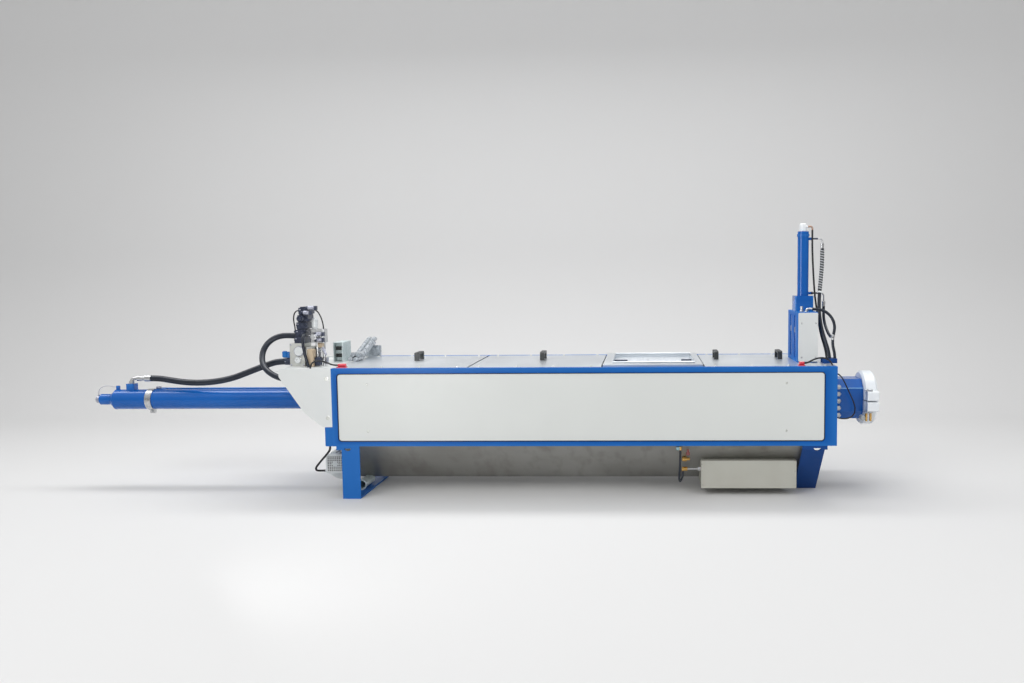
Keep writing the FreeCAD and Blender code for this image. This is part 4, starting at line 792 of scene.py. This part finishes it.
def valveDetails():
    look = {
        # lying coils in front of the stack: left end and length
        "coils": ((-1.062, -0.174, 1.128, 0.050), (-1.034, -0.166, 1.158, 0.050),
                  (-0.990, -0.160, 0.992, 0.046), (-0.984, -0.162, 0.955, 0.040)),
        "coilRadius": 0.0135,
        "slices": 5,               # slices of the stack, each with its own screws
        "sliceStart": (-1.131, 0.955),    # x and z of the lowest slice's screws
        "sliceStep": (0.008, 0.046),
        "face": -0.170,            # front face of the manifold
        "dial": (-1.0967, 0.886),
        "plug": (-1.108, 0.829),
        "socketScrew": 0.011,
        "tanBlock": (0.038, 0.060, 0.112),
        "grip": (0.030, 0.028, 0.042),
        "stem": (-1.188, -0.120),  # upright stem of the shut-off valve
        "gripBottom": 0.8405,
    }
    bright, pale, dark, tan, blue = [], [], [], [], []
    r = look["coilRadius"]
    # lying coils: bright middle, dark nose, dark socket
    nose = [(-0.016, r * 0.5), (-0.014, r * 0.85), (-0.002, r * 0.85), (0.001, r * 0.6)]
    for x, y, z, length in look["coils"]:
        body = [(0, r * 0.8), (0.002, r), (length * 0.7, r), (length * 0.72, r * 0.72), (length, r * 0.72)]
        bright.append(turnedPart(body, (x, y, z), (1, 0, 0), 28))
        dark.append(turnedPart(nose, (x, y, z), (1, 0, 0), 24))
        dark.append(blockPart((x + length * 0.8, y - r, z - r),
                              (x + length * 1.15, y + r * 0.8, z + r), 0.002))
        dark.append(blockPart((x + length * 0.25, y, z - r * 0.6),
                              (x + length * 0.6, -0.138, z + r * 0.6), 0.002))
    # small screws on the slices
    for number in range(look["slices"]):
        x, z = np.array(look["sliceStart"]) + number * np.array(look["sliceStep"])
        for y in (-0.142, -0.076):
            dark += hexBolt((x, y, z), (-1, 0, 0), 0.013, 0.007)
        bright += domeScrew((x + 0.010, -0.160, z + 0.008), (0, -1, 0), 0.009)
        dark.append(turnedPart([(0, 0.0105), (0.006, 0.0105), (0.008, 0.008)],
                               (x + 0.050, -0.160, z - 0.006), (0, -1, 0), 20))
    # dial, plug and screws on the manifold's front face
    face = look["face"]
    dialX, dialZ = look["dial"]
    scale = [(0, 0.0275), (0.0015, 0.0275), (0.002, 0.025), (0.0008, 0.0235), (0.0008, 0.004)]
    pale.append(turnedPart(scale, (dialX, face - 0.0165, dialZ), (0, -1, 0), 40))
    bright.append(turnedPart([(0, 0.031), (0.014, 0.0315), (0.0168, 0.0300), (0.0172, 0.0275)],
                             (dialX, face, dialZ), (0, -1, 0), 40))
    pale.append(turnedPart([(0, 0.0235), (0.006, 0.0235), (0.009, 0.020), (0.0095, 0.012), (0.006, 0.009)],
                           (look["plug"][0], face, look["plug"][1]), (0, -1, 0), 6))
    for x in (-1.152, -1.073):
        for z in (0.798, 0.926):
            bright += domeScrew((x, face, z), (0, -1, 0), look["socketScrew"])
    # sand-coloured valve body before the side manifold
    width, depth, height = look["tanBlock"]
    tanLow = np.array([-1.031, -0.226, 0.790])
    tan.append(blockPart(tanLow, tanLow + (width, depth, height), 0.004))
    tan.append(blockPart((-0.988, -0.150, 0.905), (-0.956, -0.112, 0.936), 0.004))
    bright += domeScrew((tanLow[0] + 0.010, tanLow[1], 0.802), (0, -1, 0), 0.009)
    dark.append(blockPart((-0.992, -0.200, 0.796), (-0.958, -0.152, 0.850), 0.004))
    # adaptor that slopes down from the filter head to the carrier plate
    slope = np.array([0.50, -0.25, -0.83])
    adaptor = [(0, 0.006), (0.005, 0.011), (0.018, 0.011), (0.020, 0.0075), (0.032, 0.0075), (0.034, 0.012),
               (0.050, 0.012), (0.052, 0.008), (0.078, 0.008), (0.080, 0.006)]
    steel = [turnedPart(adaptor, (-0.972, -0.135, 0.925), slope, 6),
             turnedPart([(0, 0.012), (0.010, 0.012), (0.012, 0.008), (0.040, 0.008), (0.042, 0.006)],
                        (-0.940, -0.120, 0.800), (0.15, -0.1, 1), 6)]
    # blue grip of the shut-off valve, and the union nut of the main hose
    stemX, stemY = look["stem"]
    stem = [(0.024, 0.0085), (0.0255, 0.0146), (0.058, 0.0146), (0.0615, 0.012), (0.0625, 0.004)]
    blue.append(turnedPart(stem, (stemX, stemY, 0.816), (0, 0, 1), 28))
    width, depth, height = look["grip"]
    gripLow = np.array([stemX - 0.038, stemY - depth / 2, look["gripBottom"]])
    blue.append(blockPart(gripLow, gripLow + (width, depth, height), 0.005))
    nut = [(0, 0.0235), (0.010, 0.0240), (0.011, 0.0215)]
    steel.append(turnedPart(nut, (stemX - 0.020, stemY, 0.816), (1, 0, 0), 6))
    # terminals and mounting plate seen in the open end of the sheet cover
    plate = [blockPart((-0.964, 0.118, 0.796), (-0.914, 0.121, 0.914), 0.001)]
    plate += [blockPart((-0.958 + 0.011 * n, 0.100, z), (-0.950 + 0.011 * n, 0.118, z + 0.024), 0.001)
              for n in range(4) for z in (0.820, 0.868)]
    addPiece("coverPlate", plate[:1], [zincSheet])
    addPiece("coverTerminals", plate[1:], [blackPlastic])
    addPiece("valveBrightParts", bright, [valveSteel])
    addPiece("valveAdaptors", steel, [valveSteel])
    addPiece("valveDarkParts", dark, [darkMetal])
    addPiece("manifoldDial", pale, [whitePlastic])
    addPiece("sandValveBody", tan, [sandPaint])
    addPiece("valveGrip", blue, [blueGloss])


valveDetails()
print("valve group dressed")


# Main ram: weld beads, conduit, clamp bolts and a fitting on top

def ramDetails():
    look = {
        "bead": 0.0022,            # radius of a weld bead
        "beadPlaces": (-2.395, -0.848),
        "radius": 0.065,           # of the ram's tube
        "axis": 0.558,
        "clamp": -2.156,           # middle of the band clamp
        "fitting": (-2.134, 0.012),
    }
    z, bead = look["axis"], look["bead"]
    parts = []
    angle = np.linspace(np.pi + 0.2, -0.2, 9)
    profile = np.column_stack([bead * np.cos(angle), look["radius"] - 0.0004 + bead * np.sin(angle)])
    for x in look["beadPlaces"]:
        parts.append(turnedPart(profile, (x, 0, z), (1, 0, 0), 48))
    addPiece("ramBeads", parts, [blueGloss])
    start, stop = corners("ram_return_pipe")
    length = stop[0] - start[0]
    conduit = turnedPart([(0.045, 0.006), (0.047, 0.0085), (length - 0.002, 0.0085), (length, 0.006)],
                         (start[0], 0.052, 0.6195), (1, 0, 0), 20)
    addPiece("ramConduit", [conduit], [blueGloss])
    bright = []
    for side in (-1, 1):
        bright += hexBolt((look["clamp"], side * 0.012, z - 0.078), (0, side, 0), 0.013, 0.007)
    addPiece("clampBolts", bright, [brightSteel])
    fitting = [(0, 0.005), (0.001, 0.009), (0.009, 0.009), (0.010, 0.0065), (0.015, 0.0065),
               (0.016, 0.0105), (0.027, 0.0105), (0.028, 0.006), (0.035, 0.006)]
    fitting = turnedPart(fitting, (*look["fitting"], z + 0.0752), (1, 0, 0), 6)
    addPiece("ramTopFitting", [fitting], [valveSteel])


ramDetails()
print("ram dressed")


# Gate unit: cover screws, guide rods, spiral guard and collar on the upper hose

def gateDetails():
    look = {
        "coverScrew": 0.011,
        "coverPlaces": ((2.052, 1.043), (2.139, 1.043), (2.053, 0.831), (2.140, 0.831)),
        "guideRod": 0.0080,      # radius of the rods in the two grooves
        "rodAcross": 0.074,
        "rodBottom": 0.829,
        # level of a sleeve on the gate cylinder's pipes, and where it ends
        "sleeves": ((1.224, 2.194), (1.567, 2.182)),
        "sleeveStart": 2.142,
    }
    face = corners("gate_front_cover")[0][1]
    parts = []
    for x, z in look["coverPlaces"]:
        parts += domeScrew((x, face, z), (0, -1, 0), look["coverScrew"])
    left, rod = corners("gate_housing")[0][0], look["guideRod"]
    profile = [(0, rod * 0.7), (0.002, rod), (0.150, rod), (0.152, rod * 1.35), (0.184, rod * 1.35),
               (0.186, rod), (0.252, rod), (0.254, rod * 0.7)]
    for side in (-1, 1):
        place = (left + rod * 1.35, side * look["rodAcross"], look["rodBottom"])
        parts.append(turnedPart(profile, place, (0, 0, 1), 20))
    addPiece("gateBrightParts", parts, [brightSteel])
    dark, start = [], look["sleeveStart"]
    for z, stop in look["sleeves"]:
        sleeve = [(0, 0.0060), (0.004, 0.0100), (0.010, 0.0100), (0.012, 0.0054),
                  (stop - start, 0.0054), (stop - start + 0.001, 0.0046)]
        dark.append(turnedPart(sleeve, (start, 0, z), (1, 0, 0), 16))
    addPiece("gatePipeSleeves", dark, [darkMetal])


def spiralGuard(line):
    look = {
        "top": 1.498,
        "bottom": 1.242,
        "radius": 0.0118,
        "ridge": 0.0012,      # how far each turn stands out
        "pitch": 0.0160,      # height of one turn
        "around": 20,
        "stepsPerTurn": 14,
        "pale": 0.64,         # the sine below which a face is pale
    }
    # radius = base + ridge * |sin(half of (turns * 2 pi + t))|; the pale strip is where the sine is small
    inside = line[(line[:, 2] < look["top"]) & (line[:, 2] > look["bottom"])]
    along = np.concatenate([[0], np.cumsum(np.linalg.norm(np.diff(inside, axis=0), axis=1))])
    count = int(along[-1] / look["pitch"] * look["stepsPerTurn"])
    place = np.linspace(0, along[-1], count)
    path = np.column_stack([np.interp(place, along, inside[:, part]) for part in range(3)])
    tangent = np.gradient(path, axis=0)
    tangent /= np.linalg.norm(tangent, axis=1)[:, None]
    side = np.cross([0.0, 1.0, 0.0], tangent)
    side /= np.linalg.norm(side, axis=1)[:, None]
    up = np.cross(tangent, side)
    angle = np.arange(look["around"]) * 2 * np.pi / look["around"]
    phase = place[:, None] / look["pitch"] * np.pi + angle[None] / 2
    ridge = np.abs(np.sin(phase))
    radius = look["radius"] + look["ridge"] * ridge
    rings = (path[:, None] + radius[..., None] * (np.cos(angle)[None, :, None] * side[:, None]
                                                  + np.sin(angle)[None, :, None] * up[:, None]))
    points, quads, tris = ringPart(rings)[:3]
    pale = (ridge[:-1] < look["pale"]).ravel()
    empty = np.zeros((0, 3), int)
    parts = [(points, quads[~pale], tris, 0), (points, quads[pale], empty, 1)]
    addPiece("spiralGuard", parts, [blackPlastic, paleTape])


def guardCollar(line):
    look = {"level": 1.232, "below": 1.220}    # the collar leans along the hose between these levels
    nearest = line[np.argmin(np.abs(line[:, 2] - look["level"]))]
    after = line[np.argmin(np.abs(line[:, 2] - look["below"]))]
    axis = after - nearest
    profile = [(-0.006, 0.0125), (-0.005, 0.0142), (0.005, 0.0142), (0.006, 0.0125)]
    addPiece("guardCollar", [turnedPart(profile, nearest, axis, 28)], [whitePlastic])


gateDetails()
spiralGuard(lines["gateUpperHose"])
guardCollar(lines["gateUpperHose"])
print("gate dressed")


# Outlet: studs of the flange, bolts and hinge roller of the pipe coupling, pale beads that paint the
# highlight on the duct's bends

def outletDetails():
    look = {
        "studLevels": (0.466, 0.510, 0.554, 0.598, 0.642),
        "studAcross": 0.147,     # from the middle to a row of studs
        "studEnd": 0.064,        # how far a stud stands out of the flange
        "nut": 0.030,
        "flange": 2.243,         # face of the flange
        "lugBolt": 0.0075,
        "lugBoltAcross": 0.190,
        "lugBoltPlaces": (2.454, 2.480),
        "lugLevels": (0.620, 0.496),       # top and underside of the coupling's lugs
        "roller": (2.427, 0.196, 0.458),   # place of the hinge rollers, on both sides
        "seam": 0.0035,          # radius of the pale bead that paints the highlight along the duct's upper bends
        "seamStart": 2.259,
        "seamAcross": 0.124,
        "seamLevel": 0.6305,
    }
    parts = []
    nut, r = look["nut"], look["lugBolt"]
    stud = [(0, nut * 0.62), (0.003, nut * 0.62), (0.0031, nut / 2), (0.020, nut / 2), (0.022, nut * 0.42)]
    tip = [(0, nut * 0.3), (look["studEnd"] - 0.004, nut * 0.3), (look["studEnd"], nut * 0.2)]
    cap = [(0.036, nut * 0.42), (0.038, nut / 2), (0.057, nut / 2), (0.059, nut * 0.42)]
    shifts = [(0, side * look["studAcross"], z) for z in look["studLevels"] for side in (-1, 1)]
    for profile, around in ((stud, 6), (tip, 16), (cap, 6)):
        parts.append(repeated(turnedPart(profile, (look["flange"], 0, 0), (1, 0, 0), around), shifts))
    brassParts, dark = [], []
    top, bottom = look["lugLevels"]
    head = [(0, r * 1.7), (0.010, r * 1.7), (0.012, r * 1.4)]
    underNut = [(0, r * 1.9), (0.010, r * 1.9), (0.012, r * 1.5)]
    shank = [(0.004, r), (0.058, r), (0.062, r * 0.7)]
    for x in look["lugBoltPlaces"]:
        for y in (-look["lugBoltAcross"], look["lugBoltAcross"]):
            parts.append(turnedPart(head, (x, y, top), (0, 0, 1), 6))
            parts.append(turnedPart(underNut, (x, y, bottom), (0, 0, -1), 6))
            brassParts.append(turnedPart(shank, (x, y, bottom), (0, 0, -1), 16))
    roller = [(0, 0.012), (0.003, 0.015), (0.050, 0.015), (0.054, 0.012)]
    x, across, z = look["roller"]
    for y in (-across, across):
        dark.append(turnedPart(roller, (x, y - 0.027, z), (0, 1, 0), 28))
    addPiece("outletStuds", parts, [brightSteel])
    # pale beads along the duct's upper bends: painted highlight
    seam = look["seam"]
    length = corners("coupling_upper_half")[0][0] - look["seamStart"]
    bead = [(0, seam * 0.6), (0.003, seam), (length - 0.003, seam), (length, seam * 0.6)]
    beads = [turnedPart(bead, (look["seamStart"], y, look["seamLevel"]), (1, 0, 0), 16)
             for y in (-look["seamAcross"], look["seamAcross"])]
    addPiece("ductSeamHighlights", beads, [bluePaintedHighlight])
    addPiece("couplingBoltEnds", brassParts, [brass])
    addPiece("couplingRollers", dark, [greyHose])


outletDetails()
print("outlet dressed")


# Small fittings beside the insulated box, and its straps

def washDetails():
    look = {
        "pipe": (1.310, -0.300, 0.160),      # start of the silver pipe towards the box
        "cap": (1.284, -0.398, 0.2965),
        "knob": (1.343, -0.392, 0.262),
    }
    nut = [(0.0965, 0.0120), (0.097, 0.0142), (0.1164, 0.0142), (0.1168, 0.0120)]
    silver = [turnedPart([(0.0341, 0.0064), (0.096, 0.0064)], look["pipe"], (1, 0, 0), 18),
              turnedPart(nut, look["pipe"], (1, 0, 0), 6)]
    addPiece("washSilverParts", silver, [brightSteel])
    cap = [(0, 0.0096), (0.001, 0.0125), (0.012, 0.0128), (0.0205, 0.0105), (0.0215, 0.007)]
    addPiece("washHoseCap", [turnedPart(cap, look["cap"], (0, 0, 1))], [cyanPlastic])
    knob = [(0, 0.007), (0.003, 0.012), (0.020, 0.012), (0.022, 0.008), (0.030, 0.008), (0.038, 0.006)]
    addPiece("washKnob", [turnedPart(knob, look["knob"], (0, 0.1, 1), 12)], [rustRed])


def boxDetails():
    look = {
        "strap": 0.014,      # width of the corner straps
        "rise": 0.0016,
        "rivet": 0.008,
        "rivetRows": 4,
        "rivetEnd": 0.02,
    }
    low, high = corners("insulated_box")
    w, r = look["strap"], look["rise"]
    parts = []
    for x in (low[0], high[0] - w):
        parts.append(blockPart((x, low[1] - r, low[2]), (x + w, low[1], high[2] - 0.001), r * 0.4))
    levels = np.linspace(low[2] + look["rivetEnd"], high[2] - look["rivetEnd"], look["rivetRows"])
    rivets = [(x, low[1] - r, z) for x in (low[0] + w / 2, high[0] - w / 2) for z in levels]
    parts.append(repeated(domeScrew((0, 0, 0), (0, -1, 0), look["rivet"])[0], rivets))
    addPiece("boxStraps", parts, [boxCladding])


washDetails()
boxDetails()
print("small fittings dressed")


# Floor, backdrop, lights, camera and surroundings

def studio():
    look = {
        "floorColour": tone(216, 216, 216),
        "wallDistance": 4.0,      # from the press to the backdrop
        "cove": 1.6,              # radius of the sweep between floor and backdrop
        "halfWidth": 16.0,
        "height": 12.0,
        "front": -11.0,
    }
    # profile across the sweep: floor, quarter circle, wall; carried along X
    angle = np.linspace(-np.pi / 2, 0, 24)
    y = np.concatenate([[look["front"]], look["wallDistance"] - look["cove"] + look["cove"] * np.cos(angle),
                        [look["wallDistance"]]])
    z = np.concatenate([[0.0], look["cove"] + look["cove"] * np.sin(angle), [look["height"]]])
    x = np.linspace(-look["halfWidth"], look["halfWidth"], 5)
    points = np.stack([np.tile(x, len(y)), np.repeat(y, len(x)), np.repeat(z, len(x))], axis=-1)
    row, column = np.meshgrid(np.arange(len(y) - 1), np.arange(len(x) - 1), indexing="ij")
    first = (row * len(x) + column).ravel()
    faces = np.stack([first, first + 1, first + len(x) + 1, first + len(x)], axis=-1)
    mesh = bpy.data.meshes.new("studioSweep")
    mesh.from_pydata(points.tolist(), [], faces.tolist())
    mesh.shade_smooth()
    sweep = bpy.data.objects.new("studioSweep", mesh)
    bpy.context.scene.collection.objects.link(sweep)
    material, tree, shader = startMaterial("studioSweep")[:3]
    shader.inputs["Base Color"].default_value = look["floorColour"]
    shader.inputs["Roughness"].default_value = 0.9
    # seen from behind the sweep is clear, so that the press shows from every side
    behind = tree.nodes.new("ShaderNodeNewGeometry").outputs["Backfacing"]
    mix = tree.nodes.new("ShaderNodeMixShader")
    tree.links.new(behind, mix.inputs["Fac"])
    tree.links.new(shader.outputs["BSDF"], mix.inputs[1])
    tree.links.new(tree.nodes.new("ShaderNodeBsdfTransparent").outputs["BSDF"], mix.inputs[2])
    tree.links.new(mix.outputs["Shader"], tree.nodes["Material Output"].inputs["Surface"])
    mesh.materials.append(material)


def softLight(name, place, aim, size, power, diffuse=True, inGloss=True):
    light = bpy.data.lights.new(name, "AREA")
    light.shape = "RECTANGLE"
    light.size, light.size_y = size
    light.energy = power
    lamp = bpy.data.objects.new(name, light)
    bpy.context.scene.collection.objects.link(lamp)
    lamp.location = place
    lamp.visible_diffuse = diffuse    # off for the strips, which show only as highlights
    lamp.visible_glossy = inGloss     # off for the broad lamps, which would wash out the paint's gloss
    lamp.visible_camera = False
    lamp.rotation_mode = "QUATERNION"
    lamp.rotation_quaternion = (Vector(place) - Vector(aim)).to_track_quat("Z", "Y")


def camera():
    look = {
        "place": (1.0898, -5.7098, 1.3744),
        "turn": 0.0381,        # to the left of straight on, radians
        "tilt": 0.0789,        # downwards
        "roll": -0.0085,
        "lens": 31.335,        # on a sensor 36 mm wide
        "shift": -0.0971,
    }
    data = bpy.data.cameras.new("camera")
    data.lens, data.sensor_width, data.shift_x = look["lens"], 36, look["shift"]
    eye = bpy.data.objects.new("camera", data)
    bpy.context.scene.collection.objects.link(eye)
    spin = (Matrix.Rotation(look["turn"], 4, "Z") @ Matrix.Rotation(math.pi / 2 - look["tilt"], 4, "X")
            @ Matrix.Rotation(look["roll"], 4, "Z"))
    eye.matrix_world = Matrix.Translation(look["place"]) @ spin
    bpy.context.scene.camera = eye


studio()
softLight("keyLight", (-3.0, -5.5, 5.5), (0.2, 0, 0.6), (4.5, 3.0), 182, inGloss=False)
softLight("fillLight", (5.0, -5.0, 3.5), (0.5, 0, 0.6), (3.5, 3.5), 86, inGloss=False)
softLight("topLight", (0, 1.2, 4.6), (0, 0, 0.6), (7.5, 0.9), 135, inGloss=False)
softLight("topStrip", (-1.6, 0.6, 4.4), (-1.6, 0, 0.6), (10.5, 1.3), 270, diffuse=False)
softLight("sideStrip", (-0.75, -2.07, 1.4), (2.09, 0, 1.35), (0.8, 2.4), 50, diffuse=False)
camera()
scene = bpy.context.scene
scene.view_settings.view_transform = "Standard"


def skyDome():
    look = {"horizon": 0.34, "zenith": 0.85}    # brightness of the surroundings at eye level and overhead
    world = bpy.data.worlds.new("world")
    scene.world = world
    world.use_nodes = True
    tree = world.node_tree
    place = tree.nodes.new("ShaderNodeTexCoord").outputs["Generated"]
    split = tree.nodes.new("ShaderNodeSeparateXYZ")
    tree.links.new(place, split.inputs["Vector"])
    level = spread(tree, split.outputs["Z"], look["horizon"], look["zenith"], 0.1, 0.9)
    tree.nodes["Background"].inputs["Color"].default_value = (1, 1, 1, 1)
    tree.links.new(level, tree.nodes["Background"].inputs["Strength"])


skyDome()
print("studio and camera set")
